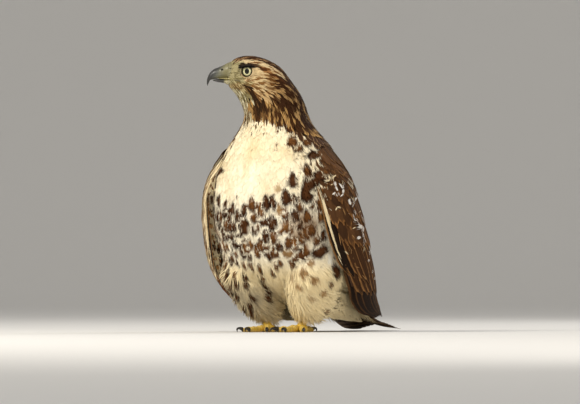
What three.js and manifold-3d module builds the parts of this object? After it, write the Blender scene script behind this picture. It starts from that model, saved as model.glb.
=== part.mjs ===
// A young red-tailed hawk, life size, standing on the floor with its head turned to its right.
// Millimetres, +Z up. The breast faces -Y, the bird's left side is +X and its tail points along +Y.
import * as THREE from "three";
import { mergeVertices } from "three/addons/utils/BufferGeometryUtils.js";
import Module from "manifold-3d";

// Driving sizes
const GAP = 0.35; // between touching pieces
const CROWN_Z = 358.5; // standing height
const BELLY_Z = 31;
const NECK_TOP_Z = 301;
const NECK_BASE_Z = 262;
const VANE_THICK = 0.9;
const TAIL_STEP_DOWN = 1.05; // how far each tail feather lies under the next one in
const TAIL_ARCH = 420; // the fan falls off to each side by x squared over this
const FOOT_X = 24;
const FOOT_Y = 6;
const HEAD_TURN = THREE.MathUtils.degToRad(62);

// The body's level sections from the crown down: height, centre x and y, reach to the front and back,
// half width, turn to the bird's right in degrees, and how much narrower the front is than the back.
const BODY = [
  { z: 358.5, x: -28.5, y: -40, front: 41, back: 41, half: 31, turn: 62, egg: 0.33 },
  { z: 344, x: -22, y: -36.6, front: 41, back: 41, half: 31, turn: 62, egg: 0.33 },
  { z: 332, x: -17.2, y: -34, front: 41.5, back: 39.5, half: 31.5, turn: 62, egg: 0.33 },
  { z: 320, x: -13.6, y: -32, front: 43.5, back: 43.5, half: 31.5, turn: 62, egg: 0.3 },
  { z: 307, x: -6.3, y: -26, front: 42, back: 43, half: 32.5, turn: 55, egg: 0.2 },
  { z: 285, x: -0.8, y: -17.4, front: 42, back: 44, half: 39, turn: 28, egg: 0.05 },
  { z: 268, x: 0, y: -13, front: 45, back: 46, half: 48, turn: 8, egg: 0 },
  { z: 250, x: 0, y: -8.3, front: 56, back: 53, half: 63, turn: 0, egg: 0 },
  { z: 232, x: 0, y: -5, front: 65, back: 62, half: 74, turn: 0, egg: 0 },
  { z: 205, x: 0, y: -4, front: 76, back: 72, half: 86, turn: 0, egg: 0 },
  { z: 175, x: 0, y: 0, front: 84, back: 80, half: 91, turn: 0, egg: 0 },
  { z: 140, x: 0, y: 9, front: 90, back: 88, half: 92, turn: 0, egg: 0 },
  { z: 110, x: 0, y: 18, front: 90, back: 89, half: 90, turn: 0, egg: 0.02 },
  { z: 80, x: 0, y: 33, front: 86, back: 86, half: 84, turn: 0, egg: 0.05 },
  { z: 55, x: 0, y: 54, front: 80, back: 80, half: 74, turn: 0, egg: 0.1 },
  { z: 31, x: 0, y: 76, front: 72, back: 74, half: 62, turn: 0, egg: 0.1 },
];
const CROWN_ROUND_FROM = 326; // above this the sections close to the crown
const BELLY_ROUND_FROM = 84; // below this they close to the belly

// The folded wings: points of the outer surface's front, crest and back lines, from shoulder to tip.
// The right wing droops a little further forward.
const WING_CREST_TOP = [[71, -13, 241], [98, 2, 195], [106, 26, 138]];
const WING_BACK_TOP = [[33, 33, 250], [42, 68, 206], [30, 97, 154], [22, 119, 106], [17, 148, 67]];
const WINGS = {
  left: {
    side: 1,
    front: [[60, -54, 225], [78, -47, 186], [90, -28, 118], [86, 24, 62], [70, 80, 31], [43, 196, 13]],
    crest: [...WING_CREST_TOP, [100, 63, 88], [75, 120, 48], [39, 207, 19]],
    back: [...WING_BACK_TOP, [25, 212, 28]],
    frontDepth: 10,
  },
  right: {
    side: -1,
    front: [[58, -52, 224], [84, -46, 182], [96, -20, 118], [99, 12, 68], [88, 58, 34], [48, 190, 13]],
    crest: [[70, -12, 241], [97, 4, 195], [107, 24, 138], [105, 54, 87], [83, 109, 47], [42, 202, 19]],
    back: [...WING_BACK_TOP, [25, 208, 28]],
    frontDepth: 22,
  },
};
const WING_BACK_DEPTH = 12;
const WING_INNER_DEPTH = 2; // least thickness of the folded wing
const WING_SUNK = 1.2; // how far the folded wing's body lies under its feathers' middle line
// Tiers of wing feathers: how many, where their roots and tips lie along the wing (first and last feather),
// the band of the wing's width that they fill, and how far root and tip stand off the surface.
// The two tiers of long flight feathers come first, then the coverts.
const WING_TIERS = [
  {
    count: 6, root: [0.52, 0.6], tip: [0.93, 1], band: [0.12, 0.66], reach: 0.1, lift: [-1.6, 0.2],
    long: true,
  },
  {
    count: 8, root: [0.38, 0.42], tip: [0.7, 0.88], band: [0.07, 0.93], reach: 0.078, lift: [-1.2, 1.2],
    long: true,
  },
  { count: 7, root: [0.24, 0.27], tip: [0.46, 0.54], band: [0.08, 0.92], reach: 0.082, lift: [-1, 1.8] },
  { count: 7, root: [0.12, 0.14], tip: [0.3, 0.34], band: [0.09, 0.91], reach: 0.08, lift: [-1, 2] },
  { count: 6, root: [0.02, 0.02], tip: [0.18, 0.2], band: [0.11, 0.89], reach: 0.09, lift: [-0.9, 2] },
];
// Shoulder feathers where the wing meets the back
const SCAPULARS = [
  { count: 3, root: [0.04, 0.2], tip: [0.24, 0.46], band: [0.82, 0.9], reach: 0.11, lift: [-0.4, 3.4] },
  { count: 3, root: [0.24, 0.4], tip: [0.46, 0.66], band: [0.92, 0.94], reach: 0.11, lift: [-0.8, 3] },
];
const WING_VANE = { tilt: 0.4, thick: [3, 3.4] }; // lean of a vane's edges and its depth at root and tip

// The tail: centre line from its root in the body to the tip on the floor
const TAIL_LINE = [[0, 92, 66], [0, 140, 44], [0, 190, 26.5], [0, 240, 14], [0, 287, 9.6]];
const TAIL_PAIRS = 6;
const TAIL_SPREAD = [1.6, 5.6]; // step between neighbouring feathers at root and tip
const TAIL_HALF_VANE = 12.5;
// Feathers over and under the tail's root: above (1) or below (-1), how many, reach along the tail, spread
// to each side, height at root and tip, fall towards the sides, and the two faces of the vane.
const TAIL_COVERTS = [
  { above: 1, count: 5, length: 0.4, spread: 13, height: [9, 1.4], fall: -1.6, faces: [0.3, -2.6] },
  { above: -1, count: 6, length: 0.5, spread: 15, height: [-15, -9.5], fall: 2.4, faces: [2.6, -0.3] },
];
const TAIL_COVERT_HALF = 9;
// The fleshy rump inside the tail's root: how far it runs, and its size at root and end
const RUMP = { length: 0.48, high: [10, 1.2], low: [17, 7.5], wide: [27, 20], lastNarrow: 0.8 };

// Head features, in the head's own frame: g forward to the bill, l to the bird's left, and height z
const HEAD_ORIGIN = new THREE.Vector2(-12.6, -31.6);
const EYE = {
  g: 19.5, z: 337.3, l: 14.2, radius: 11, opening: 6.7, depth: 6, forward: THREE.MathUtils.degToRad(14),
};
const EYE_BACK = 2.2; // how far the ball's middle lies behind the opening's
const EYE_WELL = 14; // how far the socket is cut past the lids
const LID_RADIUS = 7.6;
const LID_TUBE = 1.15;
const LID_PROUD = 0.5; // how far the lids stand over the rim of the ball
const BROW = { back: 1, out: 5.8, up: 8.6, radii: [14, 5, 3.2] };
const MOUTH = { centre: [41, 0, 328.7], radii: [5, 12, 0.6] };
// Bill stations: forward, top height, forward at the lower edge, its height, half width
const CERE = [
  [43.4, 349.6, 43, 328.9, 9.8], [48, 347.2, 47.4, 328.9, 8.7], [52.4, 345, 52, 328.8, 7.8],
  [56.4, 343.4, 56.4, 328.7, 7],
];
const UPPER_BILL = [
  [56.8, 343, 56.8, 328.7, 6.8], [61.2, 341.6, 60.7, 328.1, 6.2], [65.2, 338.6, 64.4, 327.4, 5.3],
  [68.5, 334.6, 66.8, 326.8, 4.3], [70.6, 329.8, 67.9, 325.4, 3.2], [71.5, 325.2, 69, 323, 2.1],
  [71.3, 321.8, 69.9, 320.9, 1.2], [70.7, 319.6, 70.2, 319.2, 0.45],
];
const LOWER_BILL = [
  [44.4, 328.4, 44.6, 322.6, 7.4], [50, 328.3, 50, 322.9, 6.6], [56.4, 328.1, 56.2, 323.8, 5.4],
  [61, 327.6, 60.6, 324.8, 3.8], [64, 326.9, 63.6, 325.8, 1.8],
];
const NOSTRIL = { g: 51.4, l: 8, z: 339.9, radius: 1.3, depth: 3 };

// Toes: name, degrees from straight ahead (positive to the outside), length, thickness, claw length
const TOES = [
  { name: "inner", angle: -26, length: 36, thick: 9.4, claw: 24 },
  { name: "middle", angle: 3, length: 47, thick: 9, claw: 20 },
  { name: "outer", angle: 34, length: 37, thick: 8.2, claw: 17 },
  { name: "hind", angle: 176, length: 27, thick: 9.4, claw: 26 },
];

const COLOURS = {
  breast: "#e9dcc2", crown: "#7a5334", nape: "#6b452b", wing: "#4c3322", tail: "#8f7557", thigh: "#dccbab",
  shank: "#d2b24c", claw: "#26221f", cere: "#a5a46c", bill: "#3b3a38", eye: "#d8cf8d",
};

const wasm = await Module();
wasm.setup();

// A manifold solid from points and triangles, turned to face out.
function solidFrom(points, triangles) {
  const make = (tris) =>
    new wasm.Manifold(
      new wasm.Mesh({
        numProp: 3,
        vertProperties: Float32Array.from(points.flatMap((p) => [p.x, p.y, p.z])),
        triVerts: Uint32Array.from(tris.flat()),
      }),
    );
  const made = make(triangles);
  return made.volume() < 0 ? make(triangles.map(([a, b, c]) => [a, c, b])) : made;
}

// A manifold solid from a three.js geometry.
function solidOf(geometry) {
  const bare = geometry.clone().deleteAttribute("normal").deleteAttribute("uv");
  const merged = mergeVertices(bare, 1e-4);
  const at = merged.getAttribute("position");
  const points = Array.from({ length: at.count }, (_, i) => new THREE.Vector3().fromBufferAttribute(at, i));
  const index = Array.from(merged.index.array);
  const triangles = [];
  for (let i = 0; i < index.length; i += 3) triangles.push(index.slice(i, i + 3));
  return solidFrom(points, triangles);
}

// Joins rings of equal point count into a closed solid with a fan over each end.
// Mirrored diagonals on alternate halves keep the two faces of a thin vane alike.
function loft(rings, diagonal = () => true) {
  const count = rings[0].length;
  const points = rings.flat();
  const triangles = [];
  for (let r = 0; r + 1 < rings.length; r++)
    for (let i = 0; i < count; i++) {
      const a = r * count + i;
      const b = r * count + ((i + 1) % count);
      const [c, d] = [a + count, b + count];
      if (diagonal(i)) triangles.push([a, b, d], [a, d, c]);
      else triangles.push([a, b, c], [b, d, c]);
    }
  const cap = (start, flip) => {
    const middle = new THREE.Vector3();
    for (let i = 0; i < count; i++) middle.addScaledVector(points[start + i], 1 / count);
    const hub = points.push(middle) - 1;
    for (let i = 0; i < count; i++) {
      const [p, q] = [start + i, start + ((i + 1) % count)];
      triangles.push(flip ? [p, q, hub] : [q, p, hub]);
    }
  };
  cap(0, false);
  cap((rings.length - 1) * count, true);
  return solidFrom(points, triangles);
}

// The value of one field of the body's table at a height, on a smooth curve through the rows.
function bodyValue(key, z) {
  let i = BODY.findIndex((row) => row.z <= z);
  i = THREE.MathUtils.clamp(i < 0 ? BODY.length - 1 : i, 1, BODY.length - 1);
  const slope = (k) => {
    const [a, b] = [BODY[Math.max(k - 1, 0)], BODY[Math.min(k + 1, BODY.length - 1)]];
    return (b[key] - a[key]) / (b.z - a.z);
  };
  const [from, to] = [BODY[i - 1], BODY[i]];
  const span = to.z - from.z;
  const t = (z - from.z) / span;
  return (
    from[key] * (1 + 2 * t) * (1 - t) ** 2 + to[key] * t * t * (3 - 2 * t) +
    span * (slope(i - 1) * t * (1 - t) ** 2 + slope(i) * t * t * (t - 1))
  );
}

// How far the body's sections have closed towards the crown or the belly.
function closing(z) {
  const up = THREE.MathUtils.clamp((z - CROWN_ROUND_FROM) / (CROWN_Z - CROWN_ROUND_FROM), 0, 1);
  const down = THREE.MathUtils.clamp((BELLY_ROUND_FROM - z) / (BELLY_ROUND_FROM - BELLY_Z), 0, 1);
  return Math.sqrt(Math.max(1 - up * up, 0)) * Math.sqrt(Math.max(1 - down * down, 0));
}

// A point of the body's surface: angle 0 is the front of the section and a quarter turn its left side.
function bodyPoint(z, angle) {
  const shrink = closing(z);
  const [cos, sin] = [Math.cos(angle), Math.sin(angle)];
  const reach = cos * shrink * bodyValue(cos > 0 ? "front" : "back", z);
  const across = sin * shrink * bodyValue("half", z) * (1 - bodyValue("egg", z) * cos);
  const turn = THREE.MathUtils.degToRad(bodyValue("turn", z));
  return new THREE.Vector3(
    bodyValue("x", z) - reach * Math.sin(turn) + across * Math.cos(turn),
    bodyValue("y", z) - reach * Math.cos(turn) - across * Math.sin(turn),
    z,
  );
}

// A point's outward direction on a surface of two parameters.
function outward(surface, a, b, stepA, stepB) {
  const along = surface(a + stepA, b).sub(surface(a - stepA, b));
  const around = surface(a, b + stepB).sub(surface(a, b - stepB));
  return along.cross(around).normalize();
}

// A length of the body between two heights, grown outward by `grow`.
function bodyLength(levels, around, grow = 0) {
  const rings = levels.map((z) =>
    Array.from({ length: around }, (_, i) => {
      const angle = (2 * Math.PI * i) / around;
      const inside = THREE.MathUtils.clamp(z, BELLY_Z + 0.6, CROWN_Z - 0.6);
      const normal = outward(bodyPoint, inside, angle, 0.4, 0.02).multiplyScalar(-grow);
      return bodyPoint(z, angle).add(normal);
    }),
  );
  return loft(rings);
}

// Heights from one end to the other, closer together towards the rounded end.
function levelsTo(flatEnd, roundEnd, count) {
  return Array.from({ length: count + 1 }, (_, i) =>
    THREE.MathUtils.lerp(flatEnd, roundEnd, Math.sin(((i / count) * Math.PI) / 2)),
  );
}

const ROUND_TIP = 0.4; // how near the last ring comes to the pole
const AROUND = 30;
const torsoLevels = levelsTo(NECK_BASE_Z - GAP / 2, BELLY_Z + ROUND_TIP, 17);
const torso = bodyLength(torsoLevels, AROUND);
const torsoGrown = bodyLength(torsoLevels, AROUND, GAP);
const neckLevels = [0, 0.25, 0.5, 0.75, 1].map((t) =>
  THREE.MathUtils.lerp(NECK_BASE_Z + GAP / 2, NECK_TOP_Z - GAP / 2, t),
);
const neck = bodyLength(neckLevels, AROUND);
const neckGrown = bodyLength(neckLevels, AROUND, GAP);

// The head's own frame to the bird's
function headPoint(g, l, z) {
  return new THREE.Vector3(
    HEAD_ORIGIN.x - g * Math.sin(HEAD_TURN) + l * Math.cos(HEAD_TURN),
    HEAD_ORIGIN.y - g * Math.cos(HEAD_TURN) - l * Math.sin(HEAD_TURN),
    z,
  );
}
const headDirection = (g, l, z) => headPoint(g, l, z).sub(headPoint(0, 0, 0));

// A sphere or ellipsoid in the head's frame
function headEllipsoid(centre, radii, detail = 12) {
  const geometry = new THREE.SphereGeometry(1, detail, Math.round(detail * 0.7));
  geometry.scale(...radii);
  geometry.applyMatrix4(
    new THREE.Matrix4().makeBasis(headDirection(1, 0, 0), headDirection(0, 1, 0), headDirection(0, 0, 1)),
  );
  geometry.translate(...headPoint(...centre).toArray());
  return solidOf(geometry);
}

// Where an eye sits and the direction that it looks in, for the left (1) or right (-1) side
function eyeAxis(side) {
  const look = headDirection(Math.sin(EYE.forward), side * Math.cos(EYE.forward), 0);
  return { centre: headPoint(EYE.g - EYE_BACK, side * EYE.l, EYE.z), look };
}

// A round bar or ring placed with its axis along a direction
function alongAxis(geometry, centre, axis, offset) {
  const turn = new THREE.Quaternion().setFromUnitVectors(new THREE.Vector3(0, 0, 1), axis);
  geometry.applyQuaternion(turn);
  geometry.translate(...centre.clone().addScaledVector(axis, offset).toArray());
  return solidOf(geometry);
}

// One horn-like piece of the bill through its stations: rounded above, nearly flat below
function billPiece(stations, sides = 12) {
  const [flank, bulge] = [0.9, 0.49]; // share of the half width, and how much more it has half way down
  return loft(
    stations.map(([topG, topZ, lowG, lowZ, half]) =>
      Array.from({ length: sides }, (_, i) => {
        const angle = (2 * Math.PI * i) / sides;
        const rise = (1 - Math.cos(angle)) / 2; // 0 at the top and 1 at the lower edge
        const across = half * Math.sin(angle) * (flank + bulge * rise * (1 - rise));
        return headPoint(
          THREE.MathUtils.lerp(topG, lowG, rise),
          across,
          THREE.MathUtils.lerp(topZ, lowZ, rise),
        );
      }),
    ),
  );
}

// The visible part of an eyeball: a dome of the ball's own radius on a short round base
function eyeGeometry() {
  const rim = EYE.opening - GAP;
  const profile = [new THREE.Vector2(0, 0), new THREE.Vector2(rim, 0)];
  const edge = Math.asin(rim / EYE.radius);
  const baseHeight = EYE.depth - 0.6;
  const lift = baseHeight - EYE.radius * Math.cos(edge);
  const rounds = 4;
  for (let i = 0; i <= rounds; i++) {
    const angle = edge * (1 - i / rounds);
    profile.push(new THREE.Vector2(EYE.radius * Math.sin(angle), lift + EYE.radius * Math.cos(angle)));
  }
  profile[profile.length - 1].x = 0;
  return new THREE.LatheGeometry(profile, 16).rotateX(Math.PI / 2);
}

function buildHead() {
  const cere = billPiece(CERE);
  const lowerBill = billPiece(LOWER_BILL);
  let head = bodyLength(levelsTo(NECK_TOP_Z + GAP / 2, CROWN_Z - ROUND_TIP, 11), 26);
  const eyes = {};
  for (const [name, side] of [["left", 1], ["right", -1]]) {
    const { centre, look } = eyeAxis(side);
    const lidOffset = Math.sqrt(EYE.radius ** 2 - EYE.opening ** 2) + LID_PROUD;
    const browCentre = [EYE.g - BROW.back, side * (EYE.l + BROW.out), EYE.z + BROW.up];
    const brow = headEllipsoid(browCentre, BROW.radii, 10);
    const lids = alongAxis(new THREE.TorusGeometry(LID_RADIUS, LID_TUBE, 5, 16), centre, look, lidOffset);
    const wellLength = EYE.depth + EYE_WELL;
    const well = new THREE.CylinderGeometry(EYE.opening, EYE.opening, wellLength, 16).rotateX(Math.PI / 2);
    const sunk = lidOffset - EYE.depth;
    head = head.add(brow).add(lids).subtract(alongAxis(well, centre, look, sunk + wellLength / 2));
    eyes[name] = alongAxis(eyeGeometry(), centre, look, sunk + GAP);
  }
  const mouth = headEllipsoid(MOUTH.centre, MOUTH.radii, 10);
  const grown = (stations) =>
    billPiece(stations.map(([a, b, c, d, half], i) =>
      [a - (i ? 0 : GAP), b + GAP, c - (i ? 0 : GAP), d - GAP, half + GAP]));
  head = head.subtract(mouth).subtract(grown(CERE)).subtract(grown(LOWER_BILL));
  let boredCere = cere;
  for (const side of [1, -1]) {
    const hole = new THREE.CylinderGeometry(NOSTRIL.radius, NOSTRIL.radius, NOSTRIL.depth * 2, 8);
    boredCere = boredCere.subtract(
      alongAxis(
        hole.rotateX(Math.PI / 2),
        headPoint(NOSTRIL.g, side * NOSTRIL.l, NOSTRIL.z),
        headDirection(0, side, 0),
        0,
      ),
    );
  }
  return { head, eyes, cere: boredCere, upperBill: billPiece(UPPER_BILL), lowerBill };
}

// A smooth curve through a list of points
function curveOf(rows, side = 1) {
  const points = rows.map(([x, y, z]) => new THREE.Vector3(x * side, y, z));
  return new THREE.CatmullRomCurve3(points, false, "centripetal");
}

// A thin feather on a surface: `surface(u, v)` gives its place, and the vane runs from root to tip in u.
// The lower edge stands over its neighbour and the upper edge lies under the next one.
function vane(surface, normalAt, { u, v, reach, lift, long }) {
  const outline = long
    ? [[0, 0.5], [0.4, 0.9], [0.75, 1], [0.93, 0.7], [1, 0.2]]
    : [[0, 0.6], [0.5, 1], [0.85, 0.8], [1, 0.25]];
  const { tilt, thick } = WING_VANE;
  return loft(
    outline.map(([t, wide]) => {
      const at = THREE.MathUtils.lerp(u[0], u[1], t);
      const middle = THREE.MathUtils.lerp(v[0], v[1], t);
      const height = THREE.MathUtils.lerp(lift[0], lift[1], t);
      const place = (across, rise) => {
        const spot = middle + across * reach * wide;
        return surface(at, spot).addScaledVector(normalAt(at, spot), height + rise);
      };
      const deep = THREE.MathUtils.lerp(thick[0], thick[1], t);
      return [place(-1, tilt), place(1, -tilt), place(1, -tilt - deep), place(-1, -tilt - deep)];
    }),
    (i) => i < 2,
  );
}

function buildWing({ side, front, crest, back, frontDepth }) {
  const [frontLine, crestLine, backLine] = [front, crest, back].map((rows) => curveOf(rows, side));
  const surface = (u, v) => {
    const t = THREE.MathUtils.clamp(u, 0, 1);
    const weights = [(1 - v) * (1 - 2 * v), 4 * v * (1 - v), v * (2 * v - 1)];
    return [frontLine, crestLine, backLine].reduce(
      (sum, line, i) => sum.addScaledVector(line.getPoint(t), weights[i]),
      new THREE.Vector3(),
    );
  };
  const normalAt = (u, v) => {
    const at = THREE.MathUtils.clamp(u, 0.01, 0.99);
    return outward(surface, at, v, 0.01, 0.02).multiplyScalar(side);
  };
  const along = 11;
  const across = 6;
  const lastRing = 0.985;
  const inset = 0.03;
  const rings = Array.from({ length: along + 1 }, (_, i) => {
    const u = lastRing * (i / along);
    const taper = Math.min(1, 0.25 + 3 * u) * (1 - 0.86 * THREE.MathUtils.smoothstep(u, 0.35, 1));
    const ring = [];
    for (let j = 0; j <= across; j++) {
      const v = j / across;
      ring.push(surface(u, v).addScaledVector(normalAt(u, v), -WING_SUNK));
    }
    for (let j = across; j >= 0; j--) {
      const v = THREE.MathUtils.lerp(inset, 1 - inset, j / across);
      const backward = THREE.MathUtils.smoothstep(v, 0, 0.7);
      const depth = WING_INNER_DEPTH + taper * THREE.MathUtils.lerp(frontDepth, WING_BACK_DEPTH, backward);
      ring.push(surface(u, v).addScaledVector(normalAt(u, v), -WING_SUNK - depth));
    }
    return ring;
  });
  const vanes = [...WING_TIERS, ...SCAPULARS].flatMap((tier) =>
    Array.from({ length: tier.count }, (_, i) => {
      const t = tier.count > 1 ? i / (tier.count - 1) : 0;
      const uneven = 0.012 * Math.sin(i * 2.4 + tier.count);
      const v = THREE.MathUtils.lerp(tier.band[0], tier.band[1], t);
      const tip = Math.min(THREE.MathUtils.lerp(...tier.tip, t) + uneven, 1);
      return vane(surface, normalAt, {
        u: [THREE.MathUtils.lerp(...tier.root, t), tip],
        v: [v, v],
        reach: tier.reach,
        lift: tier.lift,
        long: tier.long,
      });
    }),
  );
  return wasm.Manifold.union([loft(rings), ...vanes]);
}

function buildTail() {
  const line = curveOf(TAIL_LINE);
  const sheet = (u, x) => {
    const t = THREE.MathUtils.clamp(u, 0, 1);
    const place = line.getPoint(t);
    return place.add(new THREE.Vector3(x, 0, (-x * x) / TAIL_ARCH));
  };
  const up = (u) => {
    const along = line.getTangent(THREE.MathUtils.clamp(u, 0, 1));
    return new THREE.Vector3(0, -along.z, along.y).normalize();
  };
  const feathers = [];
  for (let i = 0; i < TAIL_PAIRS; i++)
    for (const side of [1, -1]) {
      const [root, tip] = [0.06, 1 - 0.006 * i];
      const outline = [[0, 0.45], [0.45, 0.8], [0.8, 1], [0.96, 0.85], [1, 0.35]];
      const lean = 0.25 * side;
      feathers.push(
        loft(
          outline.map(([t, wide]) => {
            const u = THREE.MathUtils.lerp(root, tip, t);
            const out = (i + 0.5) * THREE.MathUtils.lerp(...TAIL_SPREAD, t) * side;
            const half = TAIL_HALF_VANE * wide;
            const drop = -TAIL_STEP_DOWN * (i + (side > 0 ? 0 : 0.5)) * Math.min(1, 0.3 + t);
            const place = (x, rise) => sheet(u, out + x * half).addScaledVector(up(u), drop + rise);
            return [
              place(-1, lean), place(1, -lean), place(1, -lean - VANE_THICK), place(-1, lean - VANE_THICK),
            ];
          }),
          (k) => k < 2,
        ),
      );
    }
  const coverts = [];
  for (const { count, length, spread, height, fall, faces } of TAIL_COVERTS)
    for (let i = 0; i < count; i++) {
      const t = (i / (count - 1)) * 2 - 1; // from one side to the other
      const tip = length - 0.06 * Math.abs(t);
      const [top, bottom] = faces;
      const lean = 0.3;
      coverts.push(
        loft(
          [[0, 0.6], [0.5, 1], [0.85, 0.8], [1, 0.3]].map(([s, wide]) => {
            const u = THREE.MathUtils.lerp(0.02, tip, s);
            const lift = THREE.MathUtils.lerp(...height, s) + fall * Math.abs(t);
            const place = (x, rise) =>
              sheet(u, t * spread + x * TAIL_COVERT_HALF * wide).addScaledVector(up(u), lift + rise);
            return [
              place(-1, top + lean), place(1, top - lean), place(1, bottom - lean), place(-1, bottom + lean),
            ];
          }),
          (k) => k < 2,
        ),
      );
    }
  const sides = 16;
  const rumpRings = [0, 0.1, 0.2, 0.3, 0.4, RUMP.length].map((u) => {
    const t = u / RUMP.length;
    const high = THREE.MathUtils.lerp(...RUMP.high, t);
    const low = THREE.MathUtils.lerp(...RUMP.low, t);
    const wide = THREE.MathUtils.lerp(...RUMP.wide, t) * (u === RUMP.length ? RUMP.lastNarrow : 1);
    return Array.from({ length: sides }, (_, i) => {
      const angle = (2 * Math.PI * i) / sides;
      const rise = Math.cos(angle);
      return sheet(u, wide * Math.sin(angle)).addScaledVector(up(u), rise > 0 ? rise * high : rise * low);
    });
  });
  return wasm.Manifold.union([loft(rumpRings), ...feathers, ...coverts]);
}

// A round limb through stations: centre x, y, z and the two level radii
function limb(stations, side, sides = 16, grow = 0) {
  return loft(
    stations.map(([x, y, z, wide, deep], r) =>
      Array.from({ length: sides }, (_, i) => {
        const angle = (2 * Math.PI * i) / sides;
        const end = r === 0 ? grow : r === stations.length - 1 ? -grow : 0;
        return new THREE.Vector3(
          side * x + (wide + grow) * Math.sin(angle),
          y - (deep + grow) * Math.cos(angle),
          z + end,
        );
      }),
    ),
  );
}

// Stations of the limbs
const THIGH = [[50, 10, 112, 24, 32], [48, 5, 95, 34, 45], [45, 2, 76, 36, 47], [42, 3, 56, 32, 42],
  [38, 7, 38, 26, 33], [34.5, 11, 26, 20, 25], [32, 13, 19, 14.5, 18], [31, 13.5, 16, 9, 11]];
const SHANK = [
  [33, 13, 32, 6, 6.6], [30, 11.5, 22, 5.6, 6.2], [27.5, 9.5, 14.5, 5.6, 6.2], [25, 7, 9.8, 6, 6.2],
];

const BALL = [
  [FOOT_X, FOOT_Y, 9.4, 6.2, 6.4], [FOOT_X, FOOT_Y, 5, 9.2, 9.4], [FOOT_X, FOOT_Y, 0, 8.2, 8.4],
];
const BALL_SIDES = 14;
const TOE_START = 5; // where a toe leaves the middle of the ball
const TOE_STEPS = 7;
const TOE_SIDES = 8;
const SCUTE = 0.35; // how far every other ring of a toe stands up
const CLAW_STEPS = 6;
const CLAW_SIDES = 6;
const CLAW_BEND = THREE.MathUtils.degToRad(118);
const CLAW_TIP = 0.45; // its half thickness
const CLAW_ROOT_HEIGHT = 3.5;

// The foot's ball and one toe with its raised scutes and pads, all resting on small flats
function buildFoot(side) {
  const pieces = {};
  const centre = new THREE.Vector3(side * FOOT_X, FOOT_Y, 0);
  pieces.ball = limb(BALL, side, BALL_SIDES);
  const ballGrown = limb(BALL, side, BALL_SIDES, GAP);
  const toeSolid = (toe, grow) => {
    const angle = THREE.MathUtils.degToRad(toe.angle) * side;
    const ahead = new THREE.Vector3(Math.sin(angle), -Math.cos(angle), 0);
    const across = new THREE.Vector3(-ahead.y, ahead.x, 0);
    const rings = Array.from({ length: TOE_STEPS + 1 }, (_, i) => {
      const t = i / TOE_STEPS;
      const pad = 0.9 + 0.1 * Math.cos(t * 6 * Math.PI);
      const scute = i % 2 ? SCUTE : 0;
      const half = (toe.thick / 2) * pad * (1 - 0.2 * t) + grow;
      const high = toe.thick * (0.95 - 0.3 * t) * (1 - 0.12 * Math.cos(t * 4 * Math.PI)) + scute + grow;
      const out = THREE.MathUtils.lerp(TOE_START, toe.length + grow, t);
      return Array.from({ length: TOE_SIDES }, (_, k) => {
        const turn = (2 * Math.PI * k) / TOE_SIDES;
        const lift = high * (0.46 + 0.54 * Math.cos(turn));
        return centre
          .clone()
          .addScaledVector(ahead, out)
          .addScaledVector(across, half * Math.sin(turn) * (lift > 0 ? 1 : 0.7))
          .add(new THREE.Vector3(0, 0, lift > 0 ? lift : -grow));
      });
    });
    return loft(rings);
  };
  const middleGrown = toeSolid(TOES.find((toe) => toe.name === "middle"), GAP);
  for (const toe of TOES) {
    const angle = THREE.MathUtils.degToRad(toe.angle) * side;
    const ahead = new THREE.Vector3(Math.sin(angle), -Math.cos(angle), 0);
    const across = new THREE.Vector3(-ahead.y, ahead.x, 0);
    const trimmed = toeSolid(toe, 0).subtract(ballGrown);
    const beside = toe.name === "inner" || toe.name === "outer";
    pieces[`toe_${toe.name}`] = beside ? trimmed.subtract(middleGrown) : trimmed;
    const clawRings = Array.from({ length: CLAW_STEPS + 1 }, (_, i) => {
      const t = i / CLAW_STEPS;
      const bend = CLAW_BEND * t;
      const radius = toe.claw / CLAW_BEND;
      const out = toe.length + GAP + radius * Math.sin(bend);
      const high = CLAW_ROOT_HEIGHT + 1.6 * Math.sin(Math.min(bend * 1.6, Math.PI)) - 3.3 * t ** 2.4;
      const thick = THREE.MathUtils.lerp(toe.thick * 0.3, CLAW_TIP, t);
      const lean = Math.min(bend * 0.9, Math.PI / 2);
      return Array.from({ length: CLAW_SIDES }, (_, k) => {
        const turn = (2 * Math.PI * k) / CLAW_SIDES;
        const upright = thick * 1.15 * Math.cos(turn);
        return centre
          .clone()
          .addScaledVector(ahead, out + upright * Math.sin(lean) * (i ? 1 : 0))
          .addScaledVector(across, thick * 0.85 * Math.sin(turn))
          .add(new THREE.Vector3(0, 0, Math.max(0, high + upright * (i ? Math.cos(lean) : 1))));
      });
    });
    pieces[`claw_${toe.name}`] = loft(clawRings);
  }
  return pieces;
}

const boxBelowFloor = solidOf(new THREE.BoxGeometry(600, 800, 60).translate(0, 100, -30));
const largest = (solid) => solid.decompose().reduce((a, b) => (a.volume() > b.volume() ? a : b));

function meshOf(name, solid, colour, roughness = 0.8) {
  const kept = largest(solid);
  const { vertProperties, triVerts, numProp } = kept.getMesh();
  const positions = new Float32Array((vertProperties.length / numProp) * 3);
  for (let i = 0; i < positions.length / 3; i++)
    positions.set(vertProperties.subarray(i * numProp, i * numProp + 3), i * 3);
  const geometry = new THREE.BufferGeometry();
  geometry.setAttribute("position", new THREE.BufferAttribute(positions, 3));
  geometry.setIndex(new THREE.BufferAttribute(Uint32Array.from(triVerts), 1));
  geometry.computeVertexNormals();
  const material = new THREE.MeshStandardMaterial({ color: colour, roughness, metalness: 0 });
  const mesh = new THREE.Mesh(geometry, material);
  mesh.name = name;
  return mesh;
}

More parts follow.
